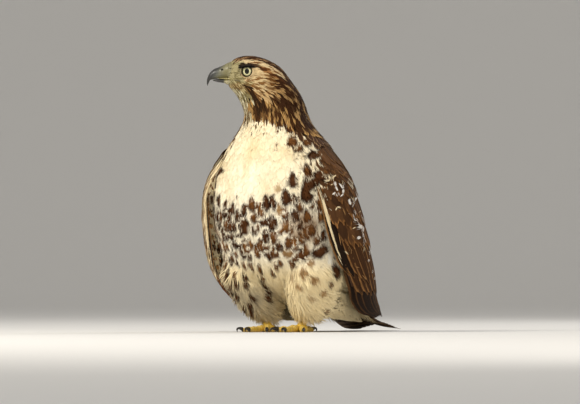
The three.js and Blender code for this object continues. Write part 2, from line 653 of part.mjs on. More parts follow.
const hawk = new THREE.Group();
hawk.name = "hawk";
const { head, eyes, cere, upperBill, lowerBill } = buildHead();
const tail = buildTail().subtract(torsoGrown).subtract(boxBelowFloor);
hawk.add(
  meshOf("head", head, COLOURS.crown),
  meshOf("neck", neck, COLOURS.nape),
  meshOf("torso", torso, COLOURS.breast),
  meshOf("cere", cere, COLOURS.cere, 0.5),
  meshOf("bill_upper", upperBill, COLOURS.bill, 0.35),
  meshOf("bill_lower", lowerBill, COLOURS.bill, 0.4),
  meshOf("eye_left", eyes.left, COLOURS.eye, 0.1),
  meshOf("eye_right", eyes.right, COLOURS.eye, 0.1),
  meshOf("tail", tail, COLOURS.tail),
);
for (const [name, wing] of Object.entries(WINGS)) {
  const { side } = wing;
  const thigh = limb(THIGH, side).subtract(torsoGrown);
  const thighGrown = limb(THIGH, side, 16, GAP);
  const shank = limb(SHANK, side, 12).subtract(thighGrown);
  hawk.add(
    meshOf(
      `wing_${name}`,
      buildWing(wing).subtract(torsoGrown).subtract(thighGrown).subtract(neckGrown),
      COLOURS.wing,
    ),
    meshOf(`thigh_${name}`, thigh, COLOURS.thigh),
    meshOf(`shank_${name}`, shank, COLOURS.shank, 0.55),
  );
  for (const [piece, solid] of Object.entries(buildFoot(side))) {
    const colour = piece.startsWith("claw") ? COLOURS.claw : COLOURS.shank;
    hawk.add(meshOf(`${piece}_${name}`, solid, colour, 0.5));
  }
}

// The origin is on the floor under the middle of the whole bird.
const extent = new THREE.Box3().setFromObject(hawk);
const middle = extent.getCenter(new THREE.Vector3());
hawk.position.set(-middle.x, -middle.y, -extent.min.z);

export default hawk;
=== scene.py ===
"""Looks of a young red-tailed hawk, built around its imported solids. Lengths are in millimetres in the bird's
own frame until they go into a mesh: +X is its left, the breast faces -Y and the floor is at 0."""

import math

import bpy
import numpy as np
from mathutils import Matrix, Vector
from mathutils.bvhtree import BVHTree


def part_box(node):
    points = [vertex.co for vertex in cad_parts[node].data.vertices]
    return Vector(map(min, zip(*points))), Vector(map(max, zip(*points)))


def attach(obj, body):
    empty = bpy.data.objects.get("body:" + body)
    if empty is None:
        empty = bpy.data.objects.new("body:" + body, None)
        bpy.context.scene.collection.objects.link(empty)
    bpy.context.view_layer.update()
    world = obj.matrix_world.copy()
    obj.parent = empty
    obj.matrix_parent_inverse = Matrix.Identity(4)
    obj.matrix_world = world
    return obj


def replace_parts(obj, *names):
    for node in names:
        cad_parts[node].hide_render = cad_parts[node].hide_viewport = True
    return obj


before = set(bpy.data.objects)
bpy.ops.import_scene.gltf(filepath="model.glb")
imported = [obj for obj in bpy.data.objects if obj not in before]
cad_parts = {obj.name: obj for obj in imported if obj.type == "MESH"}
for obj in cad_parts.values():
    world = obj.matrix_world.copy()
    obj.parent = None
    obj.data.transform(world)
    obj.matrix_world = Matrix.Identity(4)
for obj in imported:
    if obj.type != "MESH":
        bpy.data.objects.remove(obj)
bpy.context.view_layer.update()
RNG = np.random.default_rng(11)
MM = 0.001

# Places taken from the solids
FOOT = np.array([24.0, 6.0])


def middle(node):
    low, high = (np.array(corner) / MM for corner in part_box(node))
    return (low + high) / 2


SHIFT = np.array([*(middle("ball_left")[:2] - FOOT), 0.0])

# The head's own frame: g forward to the bill, l to the bird's left
HEAD_ORIGIN = np.array([-12.6, -31.6])
HEAD_TURN = math.radians(62)
FORWARD = np.array([-math.sin(HEAD_TURN), -math.cos(HEAD_TURN), 0.0])
LEFTWARD = np.array([math.cos(HEAD_TURN), -math.sin(HEAD_TURN), 0.0])
UP = np.array([0.0, 0.0, 1.0])
EYE_G = 19.5
EYE_Z = 337.3
EYE_L = 14.2
EYE_BACK = 2.2  # how far the ball's middle lies behind the opening's
EYE_BALL = 11.0
EYE_OPENING = 6.5
LID_RADIUS = 7.6
EYE_FORWARD = math.radians(14)
EYE_CLEAR = LID_RADIUS + 0.6  # no feather grows nearer to the eye's axis
BILL_ROOT = (44.0, 0.0, 337.0)

SIDES = (("left", 1), ("right", -1))
VIEW_TURN = math.radians(28)  # the photograph is taken from this far to the bird's left
COAT_MAP = 380.0  # degrees round the body, or millimetres up it, to the width of the coat's map
PATCH = np.array([0.0015, 0.003])  # a feather's patch on that map

# Colours, as seen in daylight
CREAM = "#fbf1d6"
WARM_CREAM = "#f2e0b8"
WHITE = "#f6efdc"
SPOT_DARK = "#3d2618"
SPOT_BROWN = "#6d4728"
BACK_DARK = "#40291b"
BACK_CORE = "#57391f"
WING_DARK = "#4d2f19"
QUILL_DARK = "#261a13"
UNDERWING = "#f1e2bd"
UNDERWING_BAR = "#7a4f2c"
TAIL_BASE = "#8d7154"
TAIL_BAR = "#3a281c"


def linear(code):
    """A colour code as linear light, red, green and blue."""
    value = np.array([int(code[i : i + 2], 16) for i in (1, 3, 5)]) / 255
    return np.where(value < 0.04045, value / 12.92, ((value + 0.055) / 1.055) ** 2.4)


def smooth(low, high, x):
    t = np.clip((np.asarray(x, float) - low) / (high - low), 0, 1)
    return t * t * (3 - 2 * t)


def unit(v):
    return v / np.maximum(np.linalg.norm(v, axis=-1, keepdims=True), 1e-9)


def head_point(g, l, z):
    """Places in the head's frame, as places in the bird's."""
    g, l, z = np.broadcast_arrays(*(np.asarray(a, float) for a in (g, l, z)))
    flat = g[..., None] * FORWARD + l[..., None] * LEFTWARD
    return flat + np.stack([np.full(z.shape, HEAD_ORIGIN[0]), np.full(z.shape, HEAD_ORIGIN[1]), z], -1)


def head_local(points):
    """Forward and leftward distances of points in the head's frame."""
    flat = points[:, :2] - HEAD_ORIGIN
    return flat @ FORWARD[:2], flat @ LEFTWARD[:2]


def grid(rows, cols):
    """Row and column numbers of the cells of a grid."""
    return (a.ravel() for a in np.meshgrid(np.arange(rows), np.arange(cols), indexing="ij"))


# Meshes


def add_object(name, points, faces, material, slot, uv=None, paint=None, sharp=None):
    """A piece on the one body, from points in millimetres and lists of faces of equal size."""
    mesh = bpy.data.meshes.new(name)
    points = np.asarray(points, float).reshape(-1, 3)
    mesh.vertices.add(len(points))
    mesh.vertices.foreach_set("co", ((points + SHIFT) * MM).astype(np.float32).ravel())
    groups = [np.asarray(f, np.int32) for f in (faces if isinstance(faces, list) else [faces])]
    corners = np.concatenate([f.ravel() for f in groups])
    sizes = np.concatenate([np.full(len(f), f.shape[1], np.int32) for f in groups])
    starts = np.concatenate([[0], np.cumsum(sizes)[:-1]]).astype(np.int32)
    mesh.loops.add(len(corners))
    mesh.loops.foreach_set("vertex_index", corners)
    mesh.polygons.add(len(sizes))
    mesh.polygons.foreach_set("loop_start", starts)
    mesh.polygons.foreach_set("use_smooth", np.ones(len(sizes), bool))
    mesh.update(calc_edges=True)
    if uv is not None:
        layer = mesh.uv_layers.new(name="OFBake")
        layer.data.foreach_set("uv", uv[corners].astype(np.float32).ravel())
    for key, values in (paint or {}).items():
        layer = mesh.attributes.new(key, "FLOAT_VECTOR", "POINT")
        layer.data.foreach_set("vector", values.astype(np.float32).ravel())
    if sharp is not None:
        ends = np.empty(len(mesh.edges) * 2, np.int32)
        mesh.edges.foreach_get("vertices", ends)
        rim = np.bitwise_and(*sharp.astype(np.int32)[ends].reshape(-1, 2).T) > 0
        mesh.attributes.new("sharp_edge", "BOOLEAN", "EDGE").data.foreach_set("value", rim)
    mesh.materials.append(material)
    piece = bpy.data.objects.new(name, mesh)
    bpy.context.collection.objects.link(piece)
    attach(piece, "root")
    return piece


def tube_faces(rings, count, closed=True):
    """Quads between rings of points, and a fan over each end round the two points that follow the rings."""
    r, c = grid(rings - 1, count)
    a = r * count + c
    b = r * count + (c + 1) % count
    quads = np.stack([a, b, b + count, a + count], 1)
    if not closed:
        return [quads]
    ring = np.arange(count)
    hub = rings * count
    first = np.stack([(ring + 1) % count, ring, np.full(count, hub)], 1)
    base = (rings - 1) * count
    last = np.stack([base + ring, base + (ring + 1) % count, np.full(count, hub + 1)], 1)
    return [quads, np.concatenate([first, last])]


def ring_turns(count):
    """Angles of evenly spaced points round a ring."""
    return np.linspace(0, 2 * np.pi, count, endpoint=False)


def painted_points(rings):
    """The points that colours are worked out for: those of the rings, and one for the middle of each end."""
    return np.concatenate([rings.reshape(-1, 3), rings[:1, 0], rings[-1:, 0]])


def loft(name, rings, material, slot, flip=False, **more):
    """A closed tube through rings of points."""
    rings = np.asarray(rings)
    ends = np.stack([rings[0].mean(0), rings[-1].mean(0)])
    points = np.concatenate([rings.reshape(-1, 3), ends])
    faces = tube_faces(len(rings), rings.shape[1])
    if flip:
        faces = [f[:, ::-1] for f in faces]
    return add_object(name, points, faces, material, slot, **more)


def vane_template(rows, cols):
    """Faces of one feather: an upper and a lower sheet that share their rim."""
    top = (rows + 1) * (cols + 1)

    def upper(r, c):
        return r * (cols + 1) + c

    def lower(r, c):
        rim = (r == 0) | (r == rows) | (c == 0) | (c == cols)
        return np.where(rim, upper(r, c), top + (r - 1) * (cols - 1) + (c - 1))

    r, c = grid(rows, cols)
    above = np.stack([upper(r, c), upper(r, c + 1), upper(r + 1, c + 1), upper(r + 1, c)], 1)
    below = np.stack([lower(r, c), lower(r + 1, c), lower(r + 1, c + 1), lower(r, c + 1)], 1)
    rim = np.zeros(top + (rows - 1) * (cols - 1), bool)
    edge = np.zeros((rows + 1, cols + 1), bool)
    edge[[0, -1]] = True
    edge[:, [0, -1]] = True
    rim[:top] = edge.ravel()
    return np.concatenate([above, below]), rim


def add_feathers(name, sheets, normals, thick, across, along, looks, patches, material, slot, mirrored=False):
    """Joins feathers into one piece. sheets is feathers x rows x columns x 3, thick a depth for each feather,
    across and along each point's place on its feather, and patches each feather's root on the coat's map."""
    count, rows, cols = sheets.shape[0], sheets.shape[1] - 1, sheets.shape[2] - 1
    faces, rim = vane_template(rows, cols)
    inner = (sheets - normals * thick[:, None, None, None])[:, 1:-1, 1:-1]
    points = np.concatenate([sheets.reshape(count, -1, 3), inner.reshape(count, -1, 3)], 1)
    spot = np.stack([across, along], -1)
    local = np.concatenate([spot.reshape(count, -1, 2), spot[:, 1:-1, 1:-1].reshape(count, -1, 2)], 1)
    each = points.shape[1]
    if mirrored:
        faces = faces[:, ::-1]
    all_faces = (faces[None] + (np.arange(count) * each)[:, None, None]).reshape(-1, 4)
    uv = patches[:, None, :] + local * PATCH
    luck = np.repeat(RNG.random(count), each)
    paint = {"vane": np.column_stack([local.reshape(-1, 2), luck])}
    for key, values in looks.items():
        if values.ndim == 4:
            inside = values[:, 1:-1, 1:-1].reshape(count, -1, 3)
            paint[key] = np.concatenate([values.reshape(count, -1, 3), inside], 1).reshape(-1, 3)
        else:
            paint[key] = np.repeat(values, each, axis=0)
    return add_object(
        name, points, all_faces, material, slot, uv=uv.reshape(-1, 2), paint=paint, sharp=np.tile(rim, count)
    )


# Materials


class Nodes:
    """Short names for building a shader's nodes."""

    def __init__(self, name):
        self.material = bpy.data.materials.new(name)
        self.material.use_nodes = True
        self.tree = self.material.node_tree
        self.shader = self.tree.nodes["Principled BSDF"]

    def link(self, source, target):
        if isinstance(source, (int, float, tuple)):
            target.default_value = source
        else:
            self.tree.links.new(source, target)

    def make(self, kind, **settings):
        node = self.tree.nodes.new(kind)
        for key, value in settings.items():
            setattr(node, key, value)
        return node

    def math(self, operation, *values):
        node = self.make("ShaderNodeMath", operation=operation)
        for value, target in zip(values, node.inputs):
            self.link(value, target)
        return node.outputs[0]

    def step(self, value, low, high):
        node = self.make("ShaderNodeMapRange", interpolation_type="SMOOTHSTEP")
        for source, target in zip((value, low, high, 0.0, 1.0), node.inputs):
            self.link(source, target)
        return node.outputs[0]

    def attribute(self, name):
        return self.make("ShaderNodeAttribute", attribute_name=name).outputs["Vector"]

    def split(self, vector):
        node = self.make("ShaderNodeSeparateXYZ")
        self.link(vector, node.inputs[0])
        return node.outputs

    def join(self, x, y, z):
        node = self.make("ShaderNodeCombineXYZ")
        for value, target in zip((x, y, z), node.inputs):
            self.link(value, target)
        return node.outputs[0]

    def noise(self, vector, scale, detail=2.0):
        node = self.make("ShaderNodeTexNoise")
        self.link(vector, node.inputs["Vector"])
        node.inputs["Scale"].default_value = scale
        node.inputs["Detail"].default_value = detail
        return node.outputs["Fac"]

    def mix(self, factor, a, b, blend="MIX"):
        node = self.make("ShaderNodeMix", data_type="RGBA", blend_type=blend)
        self.link(factor, node.inputs[0])
        for value, target in ((a, node.inputs[6]), (b, node.inputs[7])):
            self.link((*value, 1.0) if isinstance(value, tuple) and len(value) == 3 else value, target)
        return node.outputs[2]

    def bump(self, height, strength, distance):
        node = self.make("ShaderNodeBump")
        node.inputs["Strength"].default_value = strength
        node.inputs["Distance"].default_value = distance
        self.link(height, node.inputs["Height"])
        self.link(node.outputs[0], self.shader.inputs["Normal"])

    def tinted(self, colour, tone):
        """A colour times a grey tone."""
        return self.mix(1.0, colour, self.join(tone, tone, tone), blend="MULTIPLY")

    def finish(self, colour, **constants):
        """The material, with a colour and the shader's constant inputs."""
        self.link(colour, self.shader.inputs["Base Color"])
        for key, value in constants.items():
            self.shader.inputs[SOCKETS[key]].default_value = value
        return self.material


SOCKETS = {
    "rough": "Roughness", "shine": "Specular IOR Level",
    "coat": "Coat Weight", "coat_rough": "Coat Roughness",
}


def plumage_material():
    """Each feather's own colours: a base, an oval mark pointed at its root end, cross bars and a shaft, with
    painted shade towards the root, where the feather lies under others.
    """
    n = Nodes("plumage")
    across, along, luck = n.split(n.attribute("vane"))
    wide, centre, long = n.split(n.attribute("spot"))
    bars, number, shaft = n.split(n.attribute("bars"))
    side = n.math("ABSOLUTE", across)
    frayed = n.join(
        n.math("MULTIPLY", across, 3.0), n.math("MULTIPLY", along, 6.0), n.math("MULTIPLY", luck, 90.0)
    )
    ragged = n.noise(frayed, 1.0)
    down = n.math("DIVIDE", n.math("SUBTRACT", along, centre), long)
    room = n.math("MULTIPLY", wide, n.math("MULTIPLY_ADD", down, 0.2, 0.9))
    reach = n.math("DIVIDE", side, n.math("MAXIMUM", room, 0.01))
    far = n.math("SQRT", n.math("ADD", n.math("MULTIPLY", reach, reach), n.math("MULTIPLY", down, down)))
    far = n.math("ADD", far, n.math("MULTIPLY_ADD", ragged, 0.5, -0.25))
    mark = n.math("SUBTRACT", 1.0, n.step(far, 0.86, 1.08))
    wave = n.math("SINE", n.math("MULTIPLY_ADD", ragged, 0.9, n.math("MULTIPLY", along, number)))
    mark = n.math("MAXIMUM", mark, n.math("MULTIPLY", bars, n.step(wave, 0.1, 0.6)))
    glow = n.step(far, 0.75, 0.1)
    dark = n.mix(n.math("MULTIPLY", glow, 0.35), n.attribute("mark"), n.attribute("core"))
    colour = n.mix(mark, n.attribute("base"), dark)
    quill = n.math("MULTIPLY", shaft, n.step(side, 0.07, 0.03))
    colour = n.mix(quill, colour, tuple(linear("#1b120c")))
    slanted = n.join(
        n.math("MULTIPLY_ADD", side, -9.0, n.math("MULTIPLY", along, 34.0)),
        n.math("MULTIPLY", across, 1.5),
        n.math("MULTIPLY", luck, 50.0),
    )
    barbs = n.noise(slanted, 1.0)
    own = n.math("MULTIPLY_ADD", luck, 0.12, 0.94)
    tone = n.math("MULTIPLY", n.math("MULTIPLY_ADD", barbs, 0.3, 0.85), own)
    # Painted shade: each feather is darker towards its root, where it lies under the feathers above.
    tone = n.math("MULTIPLY", tone, n.math("MULTIPLY_ADD", n.step(along, 0.05, 0.6), 0.2, 0.8))
    n.bump(barbs, 0.35, 0.0004)
    return n.finish(n.tinted(colour, tone), rough=0.72, shine=0.07)


def strand_material():
    """Fine barbs: their own colours, with painted shade where they go under others."""
    n = Nodes("barbs")
    along, luck = n.split(n.attribute("vane"))[1:]
    # Painted shade: darker towards the root end, where a barb goes under others.
    tone = n.math("MULTIPLY_ADD", n.step(along, 0.0, 0.5), 0.18, 0.82)
    tone = n.math("MULTIPLY", tone, n.math("MULTIPLY_ADD", luck, 0.14, 0.93))
    return n.finish(n.tinted(n.attribute("base"), tone), rough=0.8, shine=0.06)


def skin_material():
    """The skin under the coat, in the coat's own colours."""
    n = Nodes("skin")
    return n.finish(n.attribute("base"), rough=0.85)


def claw_material():
    """Black horn, mottled between two tones."""
    n = Nodes("claw_horn")
    place = n.make("ShaderNodeTexCoord").outputs["Object"]
    mottle = n.noise(place, 260.0, 4.0)
    colour = n.mix(n.step(mottle, 0.25, 0.75), tuple(linear("#0d0b0a")), tuple(linear("#2b2520")))
    n.bump(mottle, 0.2, 0.0005)
    return n.finish(colour, rough=0.25)


def painted_material(name, rough, coat=0.0, shine=0.5):
    """Colours carried by the mesh itself, on a finely mottled surface."""
    n = Nodes(name)
    place = n.make("ShaderNodeTexCoord").outputs["Object"]
    mottle = n.noise(place, 420.0, 3.0)
    tone = n.math("MULTIPLY_ADD", mottle, 0.4, 0.8)
    n.bump(mottle, 0.15, 0.0004)
    return n.finish(n.tinted(n.attribute("base"), tone), rough=rough, shine=shine, coat=coat, coat_rough=0.1)


def eye_material():
    """The eye's painted rings under a clear wet coat."""
    n = Nodes("eye")
    return n.finish(n.attribute("base"), rough=0.5, shine=0.1, coat=0.5, coat_rough=0.03)


PLUMAGE = plumage_material()
BARBS = strand_material()
SKIN = skin_material()

# The flesh as one surface

TAIL_LINE = [(0, 92, 66), (0, 140, 44), (0, 190, 26.5), (0, 240, 14), (0, 287, 9.6)]
TAIL_LINE_Y = [place[1] for place in TAIL_LINE]
TAIL_LINE_Z = [place[2] for place in TAIL_LINE]
FLESH = ("head", "neck", "torso", "thigh_left", "thigh_right")
BODY_AXIS_Z = [31, 55, 80, 110, 140, 175, 205, 250, 285, 320, 358]
BODY_AXIS_Y = [76, 54, 33, 18, 9, 0, -4, -8, -17, -32, -40]
BODY_AXIS_X = [0, 0, 0, 0, 0, 0, 0, 0, -1, -13, -28]


def read(items, key, width=3, kind=float):
    """One value of every item of a mesh, in rows."""
    values = np.empty(len(items) * width, kind)
    items.foreach_get(key, values)
    return values.reshape(-1, width)


def read_shape(mesh):
    """Points and triangles of a mesh, in the bird's own frame."""
    mesh.calc_loop_triangles()
    return read(mesh.vertices, "co") / MM - SHIFT, read(mesh.loop_triangles, "vertices", kind=np.int32)


def joined(*shapes):
    """Several lists of points and faces as one."""
    starts = np.cumsum([0] + [len(points) for points, faces in shapes])
    return (
        np.concatenate([points for points, faces in shapes]),
        np.concatenate([faces + start for (points, faces), start in zip(shapes, starts)]),
    )


def node_shapes(*names):
    """Points and triangles of some nodes."""
    return joined(*(read_shape(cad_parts[name].data) for name in names))


def flesh_surface():
    """The fleshy solids run together and smoothed: points, outward directions and triangles."""
    points, faces = node_shapes(*FLESH)
    mesh = bpy.data.meshes.new("flesh")
    mesh.from_pydata(((points + SHIFT) * MM).tolist(), [], faces.tolist())
    parts = bpy.data.objects.new("flesh", mesh)
    bpy.context.collection.objects.link(parts)
    remesh = parts.modifiers.new("remesh", "REMESH")
    remesh.mode = "VOXEL"
    remesh.voxel_size = 2.0 * MM
    soften = parts.modifiers.new("soften", "SMOOTH")
    soften.factor = 0.5
    soften.iterations = 8
    graph = bpy.context.evaluated_depsgraph_get()
    result = parts.evaluated_get(graph).to_mesh()
    points, faces = read_shape(result)
    normals = unit(read(result.vertices, "normal"))
    parts.evaluated_get(graph).to_mesh_clear()
    bpy.data.objects.remove(parts)
    return points, normals, faces


def soft_normals(points, faces, rounds):
    """Outward directions of the faces, evened out over their neighbours."""
    corners = points[faces]
    own = np.cross(corners[:, 1] - corners[:, 0], corners[:, 2] - corners[:, 0])
    for _ in range(rounds):
        at_points = np.zeros(points.shape)
        for corner in faces.T:
            np.add.at(at_points, corner, own)
        own = unit(at_points)[faces].sum(1)
    return unit(own)


class Surface:
    """A surface that can be searched for the nearest place."""

    def __init__(self, shape, rounds):
        self.points, self.faces = shape
        self.normals = soft_normals(*shape, rounds)
        self.tree = BVHTree.FromPolygons(self.points.tolist(), self.faces.tolist())

    def nearest(self, points):
        """The nearest places and their outward directions."""
        places = np.empty_like(points)
        normals = np.empty_like(points)
        for i, point in enumerate(points):
            spot, _, face, _ = self.tree.find_nearest(Vector(point))
            places[i] = spot
            normals[i] = self.normals[face]
        return places, normals

    def hit(self, start, way, reach=1000):
        """The first place met from a start, or None."""
        return self.tree.ray_cast(Vector(start), Vector(way), reach)[0]


SKIRT_FRONT = [(64, 20, 90), (69, 33, 72), (64, 32, 53), (56, 30, 37), (45, 26, 20)]
SKIRT_BACK = [(38, 108, 58), (36, 124, 46), (34, 140, 35), (31, 152, 25), (28, 162, 13)]
SKIRT_BULGE = 5


def skirt_side(side):
    """The loose fall of feathers from one thigh back to the tail's root."""
    across, down = 21, 13
    knots = np.linspace(0, 1, len(SKIRT_FRONT))
    r, c = grid(down, across)
    v, u = np.linspace(0, 1, down)[r], np.linspace(0, 1, across)[c]
    front, back = (
        np.stack([np.interp(v, knots, np.array(line, float)[:, i]) for i in range(3)], -1)
        for line in (SKIRT_FRONT, SKIRT_BACK)
    )
    sheet = (front * (1 - u[:, None]) + back * u[:, None]) * [side, 1, 1]
    sheet[:, 0] += side * SKIRT_BULGE * np.sin(np.pi * u)
    r, c = grid(down - 1, across - 1)
    a = r * across + c
    quads = np.stack([a, a + across, a + across + 1, a + 1], 1)
    quads = quads if side > 0 else quads[:, ::-1]
    return sheet, np.concatenate([quads[:, [0, 1, 2]], quads[:, [0, 2, 3]]])


BODY_POINTS, BODY_NORMALS, BODY_FACES = flesh_surface()
BODY_SHAPE = (BODY_POINTS, BODY_FACES)
BODY = Surface(BODY_SHAPE, 10)
WING_SOLIDS = Surface(node_shapes("wing_left", "wing_right"), 0)
WHOLE = Surface(joined(BODY_SHAPE, node_shapes("wing_left", "wing_right", "tail")), 4)
REAR = Surface(joined(BODY_SHAPE, node_shapes("tail")), 4)
SKIRT = Surface(joined(skirt_side(1), skirt_side(-1)), 2)


def body_axis(z):
    """Where the body's upright axis is at some heights."""
    return np.interp(z, BODY_AXIS_Z, BODY_AXIS_X), np.interp(z, BODY_AXIS_Z, BODY_AXIS_Y)


def body_angle(points):
    """Degrees round the body's upright axis: 0 at the breast and 90 at the bird's left side."""
    x, y = body_axis(points[:, 2])
    return np.degrees(np.arctan2(points[:, 0] - x, y - points[:, 1]))


def coat_map(points):
    """Places on the coat's map: round the body and up it."""
    return np.stack([0.5 + body_angle(points) / COAT_MAP, 0.02 + points[:, 2] / COAT_MAP], 1)


def mantle_limit(points):
    """Degrees from the breast where the dark feathers of the back begin."""
    return np.interp(points[:, 2], [66, 200, 222, 237, 250, 262, 300], [100, 98, 88, 77, 64, 50, 45])


def is_thigh(points):
    """How far points belong to the thighs, from 0 to 1."""
    return smooth(96, 80, points[:, 2]) * smooth(16, 26, np.abs(points[:, 0])) * smooth(62, 44, points[:, 1])


def lie_of_coat(points, normals):
    """The way that feathers point: away from the bill on the head, down the body and back to the tail."""
    z = points[:, 2:3]
    away = unit(points - head_point(*BILL_ROOT))
    slant = np.radians(np.interp(z[:, 0], [40, 70, 110, 180, 262], [62, 38, 22, 10, 6]))
    slant = slant + np.radians(14) * is_thigh(points)
    slant = slant + np.radians(12) * smooth(20, 60, points[:, 1]) * smooth(100, 80, z[:, 0])
    down = np.stack([np.zeros(len(z)), np.sin(slant), -np.cos(slant)], -1)
    on_head = smooth(276, 322, z)
    way = away * on_head + down * (1 - on_head)
    way = way - normals * (way * normals).sum(1, keepdims=True)
    return unit(way)


def coat_depth(points):
    """Depth of the coat in millimetres, from the face to the belly."""
    z = points[:, 2]
    face = smooth(308, 322, z) * smooth(-12, 16, head_local(points)[0])
    head = smooth(285, 325, z)
    return 5.0 - 2.6 * head - 1.5 * face


GAPS_BEFORE = ([30, 80, 110, 172, 186, 262, 270, 300, 350], [7, 8, 11, 11.5, 7.6, 6.2, 3.8, 3.0, 2.3])
GAPS_BEHIND = ([60, 120, 240, 270, 280, 300, 350], [9, 10.5, 9.5, 5.0, 4.0, 3.2, 2.3])
FACE_GAP = 1.75


def feather_gap(points):
    """Distance between neighbouring feathers in millimetres."""
    z = points[:, 2]
    face = smooth(308, 320, z) * smooth(-4, 24, head_local(points)[0])
    front = np.interp(z, *GAPS_BEFORE)
    behind = np.interp(z, *GAPS_BEHIND)
    body = front + (behind - front) * smooth(90, 108, np.abs(body_angle(points)))
    return body * (1 - face) + FACE_GAP * face


def eye_axis(side):
    """The middle of an eye's ball and the way that it looks."""
    look = FORWARD * math.sin(EYE_FORWARD) + LEFTWARD * side * math.cos(EYE_FORWARD)
    return head_point(EYE_G - EYE_BACK, side * EYE_L, EYE_Z), look


def near_eye(points):
    """True for points too near to either eye's axis for a feather."""
    found = np.zeros(len(points), bool)
    for _, side in SIDES:
        centre, look = eye_axis(side)
        offset = points - centre
        ahead = offset @ look
        across = np.linalg.norm(offset - ahead[:, None] * look, axis=1)
        found |= (across < EYE_CLEAR) & (ahead > 0)
    return found


NEIGHBOURS = [(i, j, k) for i in (-1, 0, 1) for j in (-1, 0, 1) for k in (-1, 0, 1)]


def is_clear(spot, gap, key, boxes, spots):
    """True where no root kept so far lies within the gap."""
    for i, j, k in NEIGHBOURS:
        for other in boxes.get((key[0] + i, key[1] + j, key[2] + k), ()):
            d = spot - spots[other]
            if d[0] * d[0] + d[1] * d[1] + d[2] * d[2] < gap * gap:
                return False
    return True


def scatter(surface, gap_at, keep):
    """Roots spread over a surface where keep holds, no two nearer than the gap there."""
    corners = surface.points[surface.faces]
    crosses = np.cross(corners[:, 1] - corners[:, 0], corners[:, 2] - corners[:, 0])
    area = np.linalg.norm(crosses, axis=1) / 2
    middles = corners.mean(1)
    wanted = np.where(keep(middles), area / gap_at(middles) ** 2, 0)
    tries = int(wanted.sum() * 9)
    chosen = RNG.choice(len(corners), tries, p=wanted / wanted.sum())
    mix = RNG.random((tries, 2))
    fold = mix.sum(1) > 1
    mix[fold] = 1 - mix[fold]
    c = corners[chosen]
    spots = c[:, 0] + mix[:, :1] * (c[:, 1] - c[:, 0]) + mix[:, 1:] * (c[:, 2] - c[:, 0])
    gaps = gap_at(spots) * 0.86
    cell = 12.0 if gaps.max() > 6 else 6.0
    boxes = {}
    kept = []
    for i, (spot, gap) in enumerate(zip(spots, gaps)):
        key = tuple((spot // cell).astype(int))
        if is_clear(spot, gap, key, boxes, spots):
            boxes.setdefault(key, []).append(i)
            kept.append(i)
    return spots[kept]


def pick(condition, a, b):
    """Rows of a where condition holds and of b elsewhere."""
    return np.where(np.asarray(condition)[:, None], a, b)


def blend(amount, a, b):
    return a + (b - a) * np.asarray(amount)[:, None]


LATTICE = np.random.default_rng(5).random((64, 64))


def cloud(a, b):
    """Smooth random values from 0 to 1 at places in a plane, with patches about 1 across."""
    i, j = np.floor(a).astype(int), np.floor(b).astype(int)
    p, q = a - i, b - j
    p, q = p * p * (3 - 2 * p), q * q * (3 - 2 * q)
    i, j, k, m = i % 64, j % 64, (i + 1) % 64, (j + 1) % 64
    near = LATTICE[i, j] * (1 - p) + LATTICE[k, j] * p
    far = LATTICE[i, m] * (1 - p) + LATTICE[k, m] * p
    return near * (1 - q) + far * q


def streaks(points):
    """Random values drawn out along the lie of the head's and neck's feathers."""
    offset = points - head_point(*BILL_ROOT)
    over = np.arctan2(offset @ LEFTWARD, offset[:, 2] + 30) * 42
    on_head = cloud(over / 0.95 + 40, np.linalg.norm(offset, axis=1) / 8)
    on_neck = cloud(body_angle(points) / 1.5, points[:, 2] / 10)
    share = smooth(288, 308, points[:, 2])
    return on_head * share + on_neck * (1 - share)


def neck_angle(points):
    """Degrees round the neck from the line of the throat, positive to the bird's left."""
    heading = np.interp(points[:, 2], [262, 268, 285, 307, 320], [2, 8, 28, 55, 62])
    return body_angle(points) + heading


class Looks:
    """Colours and marks of feathers, by the place of each root."""

    def __init__(self, count):
        self.base = np.zeros((count, 3))
        self.mark = np.zeros((count, 3))
        self.core = np.zeros((count, 3))
        self.spot = np.tile([0.0, 0.6, 0.3], (count, 1))
        self.bars = np.zeros((count, 3))

    def set(self, where, base=None, mark=None, core=None, spot=None):
        """Changes the feathers where a condition holds."""
        if base is not None:
            self.base[where] = colours(base)
        if mark is not None:
            self.mark[where] = colours(mark)
            self.core[where] = colours(core or mark)
        if spot is not None:
            self.spot[where] = spot

    def streak(self, where, pale, dark, share, luck, wide=0.4):
        """Mixes pale and dark feathers, share being the part that is pale."""
        tone = smooth(share - 0.1, share + 0.1, luck[where])
        self.base[where] = blend(tone, linear(pale), linear(dark))
        self.mark[where] = blend(0.5 + 0.5 * tone, linear(pale), linear(dark)) * 0.8
        self.core[where] = self.mark[where]
        self.spot[where] = [wide, 0.5, 0.5]

    def table(self):
        return {"base": self.base, "mark": self.mark, "core": self.core, "spot": self.spot, "bars": self.bars}


def colours(value):
    return linear(value) if isinstance(value, str) else value


def to_right(points):
    """Distance to the right of the feet as seen in the photograph."""
    return points[:, 0] * math.cos(VIEW_TURN) + points[:, 1] * math.sin(VIEW_TURN)


